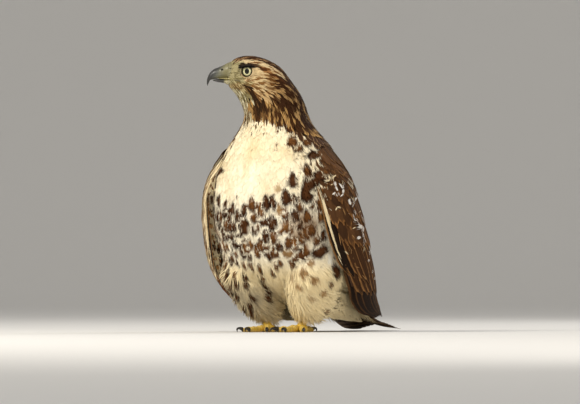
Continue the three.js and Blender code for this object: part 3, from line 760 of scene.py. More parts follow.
def cream_coat(points):
    """The pale coat of the breast, belly and thighs, without its marks, with painted shade on the bird's right
    thigh.
    """
    z = points[:, 2]
    angle = body_angle(points)
    right = to_right(points)
    colour = blend(cloud(angle / 14, z / 26), linear(CREAM), linear(WARM_CREAM))
    colour = blend(0.6 * smooth(190, 150, z), colour, linear(WHITE))
    furrow = np.exp(-(((right + 42 - 0.28 * (z - 225)) / 6) ** 2)) * smooth(190, 205, z) * smooth(262, 240, z)
    colour = blend(0.35 * furrow, colour, linear("#e6c98f"))
    low = smooth(100, 72, z)
    colour = blend(0.85 * low, colour, linear("#f3dfae"))
    muddy = smooth(1.15, 0.5, np.hypot((right - 28) / 24, (z - 136) / 24)) * (angle > 0)
    muddy = muddy * (0.45 + 0.5 * cloud(angle / 4 + 9, z / 9))
    colour = blend(muddy, colour, linear("#93704a"))
    # Painted shade: grey-brown streaks over the low part of the bird's right side, for the shadow under the
    # belly.
    shade = smooth(4, -20, right) * smooth(72, 50, z)
    shade = shade * (0.35 + 0.5 * cloud(angle / 1.5 + 20, z / 11))
    return blend(shade, colour, linear("#7d7263"))


def coat_colour(points):
    """The pale coat with its marks."""
    colour = cream_coat(points)
    near, edge, heart = MARKS_FOUND.at(points)
    angle = body_angle(points)
    ragged = 0.2 * (cloud(angle / 1.1, points[:, 2] / 2.4) - 0.5)
    inner = smooth(0.25, 0.85, near)[:, None]
    mark = heart + (edge - heart) * inner
    share = 1 - smooth(0.88, 1.06, near + ragged)
    return colour + (mark - colour) * share[:, None]


def rump_colour(points):
    """The coat round the tail's root: brown and buff above, pale below."""
    colour = coat_colour(points)
    over = np.interp(points[:, 1], TAIL_LINE_Y, TAIL_LINE_Z)
    above = smooth(-1, 5, points[:, 2] - over) * smooth(40, 70, points[:, 1])
    luck = cloud(points[:, 0] / 4 + 30, points[:, 1] / 9)
    brown = blend(smooth(0.35, 0.6, luck), linear("#4c321d"), linear("#c2a377"))
    return blend(above, colour, brown)


def body_looks(points):
    """Colours and marks of feathers rooted at these points, by the part of the body that they are on."""
    count = len(points)
    turn = np.abs(body_angle(points))
    wobble = RNG.normal(0, 1, count)
    looks = Looks(count)
    looks.base[:] = coat_colour(points)
    looks.mark[:] = looks.base
    looks.core[:] = looks.base
    back_looks(looks, points, turn, wobble)
    neck_looks(looks, points, wobble)
    head_looks(looks, points, wobble)
    return looks.table()


def back_looks(looks, points, turn, wobble):
    """Dark mantle with paler edges."""
    z = points[:, 2]
    back = (turn + 2.5 * wobble > mantle_limit(points)) & (z > 66) & (z < 300)
    looks.base[back] = blend(RNG.random(back.sum()), linear("#634529"), linear("#a98860"))
    looks.set(back, mark=BACK_DARK, core=BACK_CORE, spot=[0.84, 0.42, 0.56])


HOOD_EDGE = ([262, 269, 275, 281, 288, 296, 304, 315], [84, 52, 32, 20, 12, 14, 26, 28])


def neck_looks(looks, points, wobble):
    """A dark hood with buff streaks that closes round a pale throat."""
    z = points[:, 2]
    turn = np.abs(neck_angle(points))
    luck = streaks(points)
    edge = np.interp(z, *HOOD_EDGE)
    on_neck = z > 262
    hood = on_neck & (turn + 3 * wobble > edge)
    looks.streak(hood, "#bf955b", "#452a13", 0.42, luck, 0.4)
    nape = hood & (turn > 95)
    looks.streak(nape, "#c19a64", "#3c2311", 0.36, luck, 0.5)
    throat = on_neck & ~hood & (z > 272)
    looks.streak(throat, "#cbbf9d", "#7a6545", 0.56, luck, 0.25)


def hooded(points):
    """True for the dark hood's feathers, outside the pale throat."""
    edge = np.interp(points[:, 2], *HOOD_EDGE)
    return (points[:, 2] > 262) & (np.abs(neck_angle(points)) > edge)


def head_looks(looks, points, wobble):
    """The head's own markings, written over the neck's, and a painted shadow just above each eye."""
    z = points[:, 2] + 0.5 * wobble
    g = head_local(points)[0] + 1.2 * wobble
    luck = streaks(points)
    on = z > 303
    looks.streak(on & (g > -8), "#cfae7c", "#66421f", 0.5, luck, 0.35)
    looks.streak(on & (g > 2) & (z > 315), "#d2b98c", "#7d5830", 0.56, luck, 0.25)
    jaw = on & (g > 18) & (z < 326)
    looks.streak(jaw, "#bdaa7c", "#735c38", 0.5, luck, 0.25)
    chin = on & (z < 322 - 0.35 * (48 - g)) & (g > 12)
    looks.streak(chin, "#c8bf9f", "#82754f", 0.55, luck, 0.2)
    line = np.interp(z, [289, 300, 312, 318, 323], [1, 6, 15, 22, 29])
    wide = np.interp(z, [287, 304, 318, 324], [4.5, 6.5, 3.6, 1.2]) + 1.2 * wobble
    malar = (z > 288) & (z < 324) & (np.abs(g - line) < wide)
    looks.streak(malar, "#8a6238", "#33200f", 0.34, luck, 0.5)
    behind = np.interp(g, [-22, -3, 9, 12], [329, 337, 342.5, 343])
    ear = on & (g < 11) & (g > -24) & (np.abs(z - behind) < 2.6)
    looks.streak(ear, "#a57646", "#4f2f17", 0.3, luck, 0.5)
    brow_low = np.interp(g, [-22, -3, 8, 30], [334, 341.5, 346.5, 346.5])
    brow = on & (z > brow_low) & (g > -24)
    looks.streak(brow, "#dfc89c", "#7d5530", 0.6, luck, 0.25)
    crown_low = np.interp(g, [-30, -18, -3, 12, 30, 40], [333, 342, 348.6, 352.2, 350.8, 347])
    crown = on & (z > crown_low)
    looks.streak(crown, "#c0976a", "#402613", 0.3, luck, 0.5)
    lore = on & (g > 27) & (z > 326) & (z < np.interp(g, [27, 34, 42], [349, 348, 346.5]))
    looks.streak(lore, "#a99e76", "#736946", 0.5, luck, 0.2)
    # Painted shadow: very dark streaks just above the eye, where the brow ridge shades it.
    brow_shadow = on & (z > 343) & (z < 347) & (g > 10) & (g < 31)
    looks.streak(brow_shadow, "#4a3423", "#241810", 0.3, luck, 0.5)


def hidden_by_wing(points, normals):
    """True where a folded wing lies over the body, and also 14 mm to each side, 12 above and 16 below."""
    hidden = np.zeros(len(points), bool)
    for i, (point, normal) in enumerate(zip(points, normals)):
        side = np.cross(normal, UP)
        around = (0 * side, 14 * side, -14 * side, 12 * UP, -16 * UP)
        starts = (point + offset + normal * -6 for offset in around)
        hidden[i] = all(WING_SOLIDS.hit(start, normal, 40) is not None for start in starts)
    return hidden


STEPS = 4


def trace(roots, lengths, turns, surface):
    """Centre lines of feathers laid along the coat from their roots, with the directions out and sideways."""
    centre, out, side = [], [], []
    here, normal = surface.nearest(roots)
    before = None
    for k in range(STEPS + 1):
        way = lie_of_coat(here, normal)
        way = unit(way + np.cross(normal, way) * np.tan(turns)[:, None])
        if k:
            way = unit(way + 0.35 * before)
            way = unit(way - normal * (way * normal).sum(1, keepdims=True))
        centre.append(here)
        out.append(normal)
        side.append(np.cross(way, normal))
        before = way
        if k < STEPS:
            here, normal = surface.nearest(here + way * lengths[:, None] / STEPS)
    return (np.stack(a, 1) for a in (centre, out, side))


def hang(roots, lengths, turns, surface):
    """Straight lines from roots, for loose feathers that stand clear where the body curves in under them."""
    places, normals = surface.nearest(roots)
    way = lie_of_coat(places, normals)
    side = np.cross(way, normals)
    way = way * np.cos(turns)[:, None] + side * np.sin(turns)[:, None]
    side = np.cross(way, normals)
    reach = np.linspace(0, 1, STEPS + 1)[None, :, None] * lengths[:, None, None]
    centre = places[:, None] + way[:, None] * reach
    steps = np.ones((1, STEPS + 1, 1))
    return centre, normals[:, None] * steps, side[:, None] * steps


def along_rows(values, rows):
    """Values at the traced steps, resampled to evenly spaced rows."""
    t = np.linspace(0, STEPS, rows + 1)
    low = np.minimum(t.astype(int), STEPS - 1)
    part = (t - low)[None, :, None]
    return values[:, low] * (1 - part) + values[:, low + 1] * part


VANE = ([0, 0.25, 0.6, 0.82, 0.93, 1], [0.45, 0.85, 1.0, 0.86, 0.58, 0.2])
STRAND = ([0, 0.3, 0.7, 0.9, 1], [0.8, 1.0, 0.8, 0.45, 0.08])
FLOOR_CLEAR = 0.5  # lowest point of a feather of the coat


def vane_grid(count, rows, cols, outline, fringe, least):
    """Places on feathers with frayed sides: along, across, how far each side strays, which rows and which
    columns stray, and the outline's width in each row."""
    t = np.linspace(0, 1, rows + 1)
    s = np.linspace(-1, 1, cols + 1)[None, None, :]
    width = outline(t)
    jag = RNG.uniform(least, 1.0, (count, rows + 1, cols + 1)) * fringe
    odd = (np.arange(rows + 1) % 2)[None, :, None]
    edge = np.abs(s) > 0.99
    across = s * width[None, :, None] * (1 + np.where(edge, jag * (2 * odd - 1), 0))
    return t, s, across, np.where(edge, jag * odd, 0), width


def lay(name, roots, slot, long, half, rows, cols, fringe, thick=0.16, scatter_turn=0.04, slope=0.3, rise=0.0,
        camber=0.03, surface=BODY, fine_colour=False):
    """A layer of feathers on the body, sized by the gap between their roots. slope is how much the tips stand
    off as a share of the coat's depth, and rise how much more in millimetres."""
    gap = feather_gap(roots)
    lengths = gap * long * RNG.uniform(0.88, 1.12, len(roots))
    halves = gap * half
    turns = RNG.normal(0, scatter_turn, len(roots))
    looks = body_looks(roots)
    count = len(roots)
    traced = trace(roots, lengths, turns, surface)
    depth = coat_depth(roots)[:, None]
    centre, out, side = (along_rows(a, rows) for a in traced)
    out = unit(out)
    t, s, across, frayed, width = vane_grid(count, rows, cols, lambda t: np.interp(t, *VANE), fringe, 0.3)
    shift = 0.5 * frayed - 0.08 * s**2 * smooth(0.5, 1, t)[None, :, None]
    ahead = -np.cross(side, out)
    lift = (-0.8 + (0.8 - slope) * smooth(0, 0.2, t) + slope * t)[None, :] * depth
    lift = lift + RNG.normal(0, 0.03, (count, 1)) * depth + (rise * t**2)[None, :]
    sideways = across * halves[:, None, None]
    bend = halves[:, None, None] * camber * (1 - across**2) - sideways**2 / 160
    sheets = (
        centre[:, :, None]
        + side[:, :, None] * sideways[..., None]
        + ahead[:, :, None] * (shift * lengths[:, None, None])[..., None]
        + out[:, :, None] * (lift[:, :, None] + bend)[..., None]
    )
    along = np.broadcast_to(t[None, :, None], across.shape) + shift
    local = across / np.maximum(width, 0.2)[None, :, None]
    normals = np.broadcast_to(out[:, :, None], sheets.shape)
    clear = sheets[..., 2].reshape(count, -1).min(1) > FLOOR_CLEAR
    for k in range(STEPS + 1):
        clear &= ~near_eye(centre[:, round(k * rows / STEPS)])
    parts = [a[clear] for a in (sheets, normals, np.full(count, thick), local, along)]
    looks = {key: value[clear] for key, value in looks.items()}
    if fine_colour:
        looks["base"] = coat_colour(parts[0].reshape(-1, 3)).reshape(parts[0].shape)
    return add_feathers(name, *parts, looks, coat_map(roots)[clear], PLUMAGE, slot)


BARB_ROWS = np.array([0.0, 0.34, 0.7, 1.0])
BARB_WIDE = np.array([0.75, 1.0, 0.72])
BARB_DEEP = 0.4  # share of a barb's half width
BARB_POINTS = 10
BARB_CLEAR = 0.4  # lowest point of a barb


def barb_faces(count):
    """Faces of three-sided barbs of three rings and a tip, each with its flat side out."""
    sides = ((0, 1), (1, 2), (2, 0))
    quads = [(a + i, a + j, a + 3 + j, a + 3 + i) for a in (0, 3) for i, j in sides]
    tris = [(0, 2, 1)] + [(6 + i, 6 + j, 9) for i, j in sides]
    start = (np.arange(count) * BARB_POINTS)[:, None, None]
    return [(np.array(quads)[None] + start).reshape(-1, 4), (np.array(tris)[None] + start).reshape(-1, 3)]


def lay_barbs(name, roots, lengths, halves, turns, lifts, slot, surface, colour_at, stand, path):
    """Single barbs along the coat. lifts is each barb's height over the coat at root and tip, and stand how
    much further the tip stands off."""
    traced = path(roots, lengths, turns, surface)
    place = np.clip(BARB_ROWS * STEPS, 0, STEPS)
    low = np.minimum(place.astype(int), STEPS - 1)
    part = (place - low)[None, :, None]
    centre, out, side = (a[:, low] * (1 - part) + a[:, low + 1] * part for a in traced)
    out = unit(out)
    high = lifts[:, :1] + (lifts[:, 1:] - lifts[:, :1]) * BARB_ROWS[None, :] + stand * BARB_ROWS[None, :] ** 2
    line = centre + out * high[..., None]
    wide = (halves[:, None] * BARB_WIDE[None, :])[..., None]
    body, side, out = line[:, :3], side[:, :3], out[:, :3]
    ring = np.stack([body - side * wide, body + side * wide, body - out * (BARB_DEEP * wide)], 2)
    points = np.concatenate([ring.reshape(len(roots), -1, 3), line[:, 3:]], 1)
    clear = (points[..., 2].min(1) > BARB_CLEAR) & ~near_eye(centre[:, 0])
    points, centre, roots = points[clear], centre[clear], roots[clear]
    count = len(points)
    shift = RNG.normal(0, 0.5, (count, 1, 3))
    tones = colour_at((centre + shift).reshape(-1, 3)).reshape(count, 4, 3)
    tones = np.concatenate([np.repeat(tones[:, :3], 3, axis=1), tones[:, 3:]], 1)
    along = np.append(np.repeat(BARB_ROWS[:3], 3), 1.0)
    across = np.append(np.tile([-1.0, 1.0, 0.0], 3), 0.0)
    local = np.stack([across, along], 1)
    uv = coat_map(roots)[:, None, :] + local[None] * PATCH
    luck = np.repeat(RNG.random(count), BARB_POINTS)
    vane = np.column_stack([np.tile(local, (count, 1)), luck])
    ridges = np.tile([1, 2, 0, 1, 2, 0, 1, 2, 0, 3], count)
    return add_object(
        name, points, barb_faces(count), BARBS, slot, uv=uv.reshape(-1, 2),
        paint={"vane": vane, "base": tones.reshape(-1, 3)}, sharp=ridges,
    )


def lay_tufts(name, where, gap, each, length, half, fan=0.5, lift=(-1.0, 1.0), loose=0.5, stand=0.0,
              surface=BODY, roots_on=BODY, colour_at=coat_colour, raised=None, path=trace):
    """Tufts of barbs that fan out like the end of a feather, for the soft parts of the coat."""
    spots = scatter(roots_on, lambda p: np.full(len(p), gap), where)
    roots, normals = roots_on.nearest(spots)
    seen = ~hidden_by_wing(roots, normals) if roots_on is BODY else np.ones(len(roots), bool)
    roots, normals = roots[seen], normals[seen]
    count = len(roots)
    sideways = np.cross(lie_of_coat(roots, normals), normals)
    share = np.linspace(-1, 1, each)[None, :] + RNG.normal(0, 0.12, (count, each))
    starts = roots[:, None] + sideways[:, None] * (share * gap * 0.62)[..., None]
    starts = starts + RNG.normal(0, gap * 0.12, starts.shape)
    lean = RNG.normal(0, 0.12, (count, 1))
    turns = share * fan * 0.5 + lean + RNG.normal(0, 0.05, (count, each))
    lengths = length * (1 - 0.28 * share**2) * RNG.uniform(0.85, 1.12, (count, 1))
    lengths = lengths * RNG.uniform(0.85, 1.1, (count, each))
    own = RNG.normal(0, loose, (count, 1)) + RNG.normal(0, 0.3 * loose, (count, each))
    if raised is not None:
        own = own + raised(roots)[:, None]
    lifts = np.stack([lift[0] + 0.5 * own, lift[1] + own], -1)
    halves = half * RNG.uniform(0.75, 1.25, (count, each))
    return lay_barbs(
        name, starts.reshape(-1, 3), lengths.ravel(), halves.ravel(), turns.ravel(), lifts.reshape(-1, 2),
        "plumage_cream", surface, colour_at, stand, path,
    )


# The marks that stand out on the breast: millimetres to the right of the feet as seen in the photograph,
# height, half width, half length and tone
MARKS = [
    (-4, 270, 5.5, 6, "dark"), (10, 263, 6, 6, "dark"), (22, 259, 6, 5.5, "brown"),
    (35, 254, 6, 5.5, "dark"), (13, 246, 7.5, 8, "brown"), (20, 238, 7, 6.5, "brown"),
    (32, 245, 6.5, 6, "brown"), (42, 243, 5, 6, "dark"), (40, 229, 8, 6, "dark"),
    (52, 222, 6.5, 7.5, "dark"), (47, 238, 4, 6, "dark"), (56, 208, 5, 7, "brown"),
    (32, 207, 6, 8, "brown"), (46, 199, 7, 8.5, "dark"), (14, 196, 6, 10, "dark"),
    (-5, 186, 3.5, 6, "faint"), (5, 174, 6.5, 10, "dark"), (31, 180, 8, 13, "dark"),
    (15, 171, 4.5, 7.5, "dark"), (41, 187, 2.5, 7, "dark"), (-39, 165, 5.5, 9, "brown"),
    (-20, 167, 5.5, 10, "dark"), (-92, 170, 4, 8, "dark"), (-84, 168, 3, 8, "dark"),
    (-73, 165, 3.5, 8, "dark"), (-63, 159, 4, 8, "dark"), (-57, 150, 5, 8, "dark"),
    (-49, 139, 9, 14, "dark"), (-12, 141, 7, 9.5, "dark"), (-21, 125, 5, 10, "dark"),
    (-4, 158, 5, 7, "pale"), (7, 106, 7, 10, "pale"), (-51, 105, 5, 11, "dark"), (49, 106, 13, 9.5, "dark"),
    (69, 79, 8, 12, "dark"), (-58, 175, 1.3, 4, "dark"), (-64, 243, 1.6, 7, "dark"),
    (-77, 230, 2.4, 9, "dark"), (-83, 207, 2.6, 11, "dark"), (-97, 190, 2.4, 7, "dark"),
    (-5, 258, 0.8, 4, "brown"), (-6.5, 238, 0.8, 6, "brown"), (-47, 277, 1.5, 4, "dark"),
    (-48, 271, 1.5, 4, "dark"), (-37, 273, 1.3, 3.5, "dark"), (28, 76, 6, 5.5, "pale"),
    (41, 68, 5.5, 5.5, "pale"), (22, 59, 5, 4.5, "pale"), (53, 50, 5, 5.5, "pale"),
    (56, 29, 4.5, 5, "rufous"), (60, 122, 4.5, 7, "white"), (62, 94, 4, 6, "white"), (37, 90, 5, 5, "pale"),
    (62, 62, 4.5, 5, "brown"), (38, 44, 4, 4.5, "faint"), (14, 70, 4, 5, "faint"),
]
MARK_TONES = {
    "dark": ("#301a0d", "#56341b"),
    "brown": ("#4d301a", "#754b25"),
    "rufous": ("#54341b", "#8c5f32"),
    "pale": ("#96744c", "#a98658"),
    "faint": ("#b59a72", "#c2a982"),
    "white": ("#fbf6e6", "#fbf6e6"),
}


VIEW_FAR = 500  # in front of the whole bird


def place_in_view(right, high):
    """The outermost point seen at a distance to the right of the feet and a height."""
    c, s = math.cos(VIEW_TURN), math.sin(VIEW_TURN)
    return WHOLE.hit((c * right + s * VIEW_FAR, s * right - c * VIEW_FAR, high), (-s, c, 0))


MARK_DEEP = 20.0  # how far from its own place a mark reaches through the body
MARK_GROWN = 1.22
MARK_NONE = 9.0  # the nearness of points that no mark reaches
MARK_BATCH = 20000  # points looked at in one go
MARK_RIM = 1.17  # the pale rim that an upper mark keeps over a lower one, as a share of its size


class Marks:
    """Drop-shaped marks on the coat, each with a place, half width, half length and two tones."""

    def __init__(self, places, sizes, tones):
        places, normals = WHOLE.nearest(np.array(places))
        self.sizes = np.array(sizes) * MARK_GROWN
        self.edge = np.array([linear(tone[0]) for tone in tones])
        self.heart = np.array([linear(tone[1]) for tone in tones])
        way = lie_of_coat(places, normals)
        self.axes = np.stack([np.cross(way, normals), way, normals])
        self.offsets = (self.axes * places).sum(-1)

    def at(self, points):
        """Nearness to a mark, 1 at its edge and 0 at its middle, with its outer and inner colours."""
        near = np.full(len(points), MARK_NONE)
        which = np.zeros(len(points), int)
        for start in range(0, len(points), MARK_BATCH):
            part = slice(start, start + MARK_BATCH)
            frames = zip(self.axes, self.offsets)
            across, down, deep = (points[part] @ axis.T - offset for axis, offset in frames)
            long = down / self.sizes[:, 1]
            narrow = np.clip(0.82 + 0.36 * long, 0.3, 1.12)
            far = np.hypot(across / self.sizes[:, 0] / narrow, long) + MARK_NONE * (np.abs(deep) > MARK_DEEP)
            over = np.where(far < MARK_RIM, 50.0 + down, -far)
            which[part] = over.argmax(1)
            near[part] = far[np.arange(len(far)), which[part]]
        return near, self.edge[which], self.heart[which]


BAND_ROWS = np.arange(24, 262, 13.0)
BAND_STEP = 7.7  # degrees between neighbours in a row


def band_mark(row, z, step, luck):
    """One drop of the band: degrees round the body, height, size and tone, or None where it is left out."""
    turn = (step + 0.5 * (row % 2)) * BAND_STEP + luck.normal(0, 1.5)
    high = z + luck.normal(0, 3.6)
    wide, tall = luck.uniform(4.2, 5.6), luck.uniform(7.5, 10.5)
    tone = luck.choice(["dark", "dark", "brown", "brown", "rufous"])
    chance = luck.random()
    sparse = high > 170 + 30 * float(smooth(40, 60, abs(turn)))
    low = high < 92 + luck.normal(0, 6)
    # Painted shade over real marks: on the bird's right thigh the low drops are kept where others are left
    # out, and all made dark.
    shaded = low and -104 < turn < -4 and high < 74
    rare = 0.15 if high > 74 else 0.5
    outside = sparse and not (turn < -54 and chance < 0.25 or turn > 86 and chance < 0.6)
    bare = low and not shaded and (high < 58 or turn > 40 or turn < -104 or chance < rare)
    if outside or bare or chance > 0.96:
        return None
    if sparse:
        wide, tall = 0.6 * wide, 0.8 * tall
    if low:
        wide, tall = 0.7 * wide, 0.75 * tall
        tone = "rufous" if chance < 0.5 else "brown"
    return turn, high, (wide, tall), "dark" if shaded else tone


def band_marks():
    """Staggered rows of drops over the belly and flanks, denser and darker to the sides."""
    luck = np.random.default_rng(23)
    found = []
    for row, z in enumerate(BAND_ROWS):
        axis = np.array([*body_axis(z), z])
        for step in range(-20, 21):
            mark = band_mark(row, z, step, luck)
            if mark is None:
                continue
            turn, high, size, tone = mark
            angle = math.radians(turn)
            ray = np.array([math.sin(angle), -math.cos(angle), 0.0])
            hit = BODY.hit((axis + [0, 0, high - z]) + ray * 300, -ray)
            if hit is not None:
                found.append((np.array(hit), size, tone))
    return found


def all_marks():
    """The placed marks, and those of the band that keep clear of them."""
    placed = [(place_in_view(right, high), (wide, tall), tone) for right, high, wide, tall, tone in MARKS]
    placed = [mark for mark in placed if mark[0] is not None]
    spots = np.array([mark[0] for mark in placed])
    clearance = np.array([mark[1][0] + 3.0 for mark in placed])
    band = [m for m in band_marks() if (np.linalg.norm(spots - m[0], axis=1) > clearance).all()]
    places, sizes, tones = zip(*(placed + band))
    return Marks(places, sizes, [MARK_TONES[tone] for tone in tones])


MARKS_FOUND = all_marks()


# Edges and marks of single feathers that stand out on the wings, as short lines in the photograph's view:
# right and height of both ends, width and tone
FLECKS = [
    (62, 189, 64, 190, 1.2, "pale"), (66, 193, 67.5, 187, 2.2, "white"), (67.5, 187, 70, 181, 1.8, "white"),
    (74, 191, 77, 194, 0.9, "pale"), (64, 177, 68, 180, 1.4, "white"), (70, 179, 71, 175, 2.0, "white"),
    (72, 191, 77, 184, 1.6, "white"), (77, 184, 77, 178, 1.8, "white"), (77, 178, 73, 174, 1.2, "white"),
    (78, 191, 77, 184, 1.0, "white"), (85, 171, 87, 164, 5.0, "white"), (89, 168, 92, 162, 1.8, "white"),
    (94, 174, 91, 168, 1.2, "white"), (68, 157, 70, 161, 1.4, "pale"), (70, 161, 75, 161, 1.2, "pale"),
    (83, 152, 87, 155, 1.4, "white"), (90, 157, 91, 148, 3.0, "white"), (91, 148, 95, 141, 1.6, "white"),
    (95, 141, 98, 134, 1.8, "white"), (95, 153, 99, 157, 1.2, "pale"), (96, 137, 101, 134, 4.0, "white"),
    (102, 136, 101, 128, 2.2, "white"), (101, 128, 103, 121, 1.2, "white"),
    (103, 121, 106, 113, 1.4, "white"), (106, 113, 103, 104, 1.2, "pale"), (95, 121, 99, 124, 2.6, "white"),
    (89, 134, 93, 136, 1.2, "pale"), (111, 108, 112, 100, 1.8, "white"), (109, 92, 110, 95, 1.5, "white"),
    (114, 78, 115, 81, 1.4, "white"), (117, 69, 119, 72, 1.4, "white"), (80, 106, 84, 101, 1.0, "pale"),
    (93, 88, 98, 85, 0.9, "tan"), (102, 75, 108, 69, 0.9, "tan"), (88, 126, 92, 121, 1.0, "tan"),
    (64, 198, 68, 201, 1.0, "pale"), (75, 203, 81, 205, 0.9, "tan"), (100, 150, 107, 131, 0.8, "white"),
    (107, 131, 112, 116, 0.8, "white"), (112, 116, 116, 100, 0.7, "pale"), (116, 100, 119, 84, 0.7, "pale"),
    (57, 158, 62, 147, 0.9, "tan"), (76, 160, 80, 150, 0.8, "tan"), (72, 128, 75, 112, 0.7, "tan"),
    (85, 112, 88, 98, 0.7, "tan"), (-93, 178, -92, 167, 4.5, "dark"), (-96, 158, -95, 151, 3.5, "tan"),
    (-91, 154, -89, 146, 3, "tan"), (-95, 142, -93, 135, 4, "tan"), (-88, 138, -87, 129, 3.5, "tan"),
    (-94, 127, -92, 120, 4, "tan"), (-92, 114, -90, 106, 4.5, "dark"), (-86, 110, -84, 102, 4, "dark"),
    (-90, 99, -88, 93, 3, "tan"), (-81, 91, -79, 82, 3.5, "dark"), (-87, 88, -85, 82, 3.5, "tan"),
    (-97, 170, -96, 160, 2.5, "tan"),
]
FLECK_TONES = {"white": "#f2ede4", "pale": "#e2cfa8", "tan": "#a87f50", "dark": "#4a2e1a"}
FLECK_HIGH = (3.1, 3.8)
FLECK_HALF = 0.34


def add_flecks():
    """The edges and marks of single wing feathers, as bundles of fine barbs."""
    starts, ends, tones = [], [], []
    for right, high, right_end, high_end, wide, tone in FLECKS:
        run = np.array([right_end - right, high_end - high])
        aside = np.array([run[1], -run[0]]) / np.linalg.norm(run)
        for share in np.linspace(-0.5, 0.5, max(3, round(wide * 3.2))):
            shift = aside * share * wide + RNG.normal(0, 0.15, 2)
            half_run = run * 0.55 * (1 - 1.1 * share**2)
            centre = np.array([right, high]) + run / 2 + shift
            a, b = place_in_view(*(centre - half_run)), place_in_view(*(centre + half_run))
            if a is not None and b is not None and (a - b).length < 30:
                starts.append(a)
                ends.append(b)
                tones.append(linear(FLECK_TONES[tone]))
    starts, ends = np.array(starts), np.array(ends)
    lines = starts[:, None] + (ends - starts)[:, None] * np.linspace(0, 1, STEPS + 1)[None, :, None]
    places, normals = (a.reshape(lines.shape) for a in WHOLE.nearest(lines.reshape(-1, 3)))
    side = unit(np.cross(unit(ends - starts)[:, None] * np.ones((1, STEPS + 1, 1)), normals))
    count = len(starts)
    tones = np.repeat(np.array(tones), 4, axis=0)
    lifts = RNG.uniform(*FLECK_HIGH, (count, 1)) * np.ones((1, 2))
    return lay_barbs(
        "wing_flecks", starts, np.ones(count), np.full(count, FLECK_HALF), np.zeros(count), lifts,
        "plumage_wing", WHOLE, lambda _: tones, 0.0, lambda *given: (places, normals, side),
    )


SHOULDER_EDGE = ([150, 185, 211, 230, 240, 262, 270], [57, 54, 56, 48, 40, 24, 18])
SHOULDER_LOW = 150


def over_shoulder(points):
    """How far points are inside the edge of the breast's feathers that cover the left wing's front."""
    return np.interp(points[:, 2], *SHOULDER_EDGE) - to_right(points)


def shoulder_edge(points):
    """True on the breast's feathers that lie over the front edge of the bird's left wing."""
    inside = over_shoulder(points)
    z = points[:, 2]
    return (z > SHOULDER_LOW) & (z < 246) & (inside > 0) & (inside < 34) & (points[:, 0] > 30)


def add_skin():
    """The skin under the coat, in the coat's colours darkened as painted shade, set in by the coat's depth."""
    depth = coat_depth(BODY_POINTS)
    looks = body_looks(BODY_POINTS)
    share = np.clip(looks["spot"][:, 0], 0, 1) * 0.7
    # Painted shade: the skin is a fifth darker than the coat above it, for the shade in the gaps between
    # feathers.
    colour = blend(share, looks["base"], looks["mark"]) * 0.8
    points = BODY_POINTS - BODY_NORMALS * depth[:, None]
    points[:, 2] = np.maximum(points[:, 2], 1.0)
    uv = coat_map(BODY_POINTS)
    skin = add_object("skin", points, BODY_FACES, SKIN, "plumage_cream", uv=uv, paint={"base": colour})
    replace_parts(skin, *FLESH)
    return skin


# Wings

WINGS = {
    "left": {
        "side": 1,
        "front": [(60, -54, 225), (78, -47, 186), (90, -28, 118), (86, 24, 62), (70, 80, 31), (43, 196, 13)],
        "crest": [(71, -13, 241), (98, 2, 195), (106, 26, 138), (100, 63, 88), (75, 120, 48), (39, 207, 19)],
        "back": [(33, 33, 250), (42, 68, 206), (30, 97, 154), (22, 119, 106), (17, 148, 67), (25, 212, 28)],
        "depth": 10,
    },
    "right": {
        "side": -1,
        "front": [(58, -52, 224), (84, -46, 182), (96, -20, 118), (99, 12, 68), (88, 58, 34), (48, 190, 13)],
        "crest": [(70, -12, 241), (97, 4, 195), (107, 24, 138), (105, 54, 87), (83, 109, 47), (42, 202, 19)],
        "back": [(33, 33, 250), (42, 68, 206), (30, 97, 154), (22, 119, 106), (17, 148, 67), (25, 208, 28)],
        "depth": 22,
    },
}
SAMPLES = 241


def curve_points(rows, side):
    """A centripetal curve through points, sampled evenly in its parameter."""
    p = np.array(rows, float) * [side, 1, 1]
    p = np.concatenate([[2 * p[0] - p[1]], p, [2 * p[-1] - p[-2]]])
    pieces = len(rows) - 1
    t = np.linspace(0, pieces, SAMPLES)
    k = np.minimum(t.astype(int), pieces - 1)
    w = (t - k)[:, None]
    a, b, c, d = p[k], p[k + 1], p[k + 2], p[k + 3]
    d0, d1, d2 = (np.linalg.norm(v, axis=1)[:, None] ** 0.5 for v in (b - a, c - b, d - c))
    start = ((b - a) / d0 - (c - a) / (d0 + d1) + (c - b) / d1) * d1
    end = ((c - b) / d1 - (d - b) / (d1 + d2) + (d - c) / d2) * d1
    square, cube = 3 * (c - b) - 2 * start - end, 2 * (b - c) + start + end
    return b + start * w + square * w**2 + cube * w**3


class Wing:
    """The outer surface of a folded wing: u runs from shoulder to tip and v from the front edge back."""

    def __init__(self, shape):
        self.side = shape["side"]
        self.depth = shape["depth"]
        self.lines = [curve_points(shape[key], self.side) for key in ("front", "crest", "back")]

    def at(self, u, v):
        """Places on the surface, run on straight beyond the tip."""
        u, v = np.broadcast_arrays(np.clip(u, 0, 1.04), v)
        knots = np.linspace(0, 1, SAMPLES)
        weights = ((1 - v) * (1 - 2 * v), 4 * v * (1 - v), v * (2 * v - 1))
        place = np.zeros(u.shape + (3,))
        for line, weight in zip(self.lines, weights):
            spot = np.stack([np.interp(u, knots, line[:, i]) for i in range(3)], -1)
            spot = spot + np.maximum(u - 1, 0)[..., None] * (line[-1] - line[-25]) * (SAMPLES - 1) / 24
            place = place + spot * weight[..., None]
        return place

    def normal(self, u, v):
        u = np.clip(u, 0.02, 0.98)
        along = self.at(u + 0.015, v) - self.at(u - 0.015, v)
        over = self.at(u, v + 0.02) - self.at(u, v - 0.02)
        return unit(np.cross(along, over)) * self.side


def flight_outline(t):
    return np.interp(t, [0, 0.1, 0.5, 0.85, 0.95, 1], [0.35, 0.6, 0.95, 0.95, 0.7, 0.28])


def covert_outline(t):
    return np.interp(t, [0, 0.3, 0.65, 0.85, 0.95, 1], [0.5, 0.9, 1.0, 0.82, 0.55, 0.22])


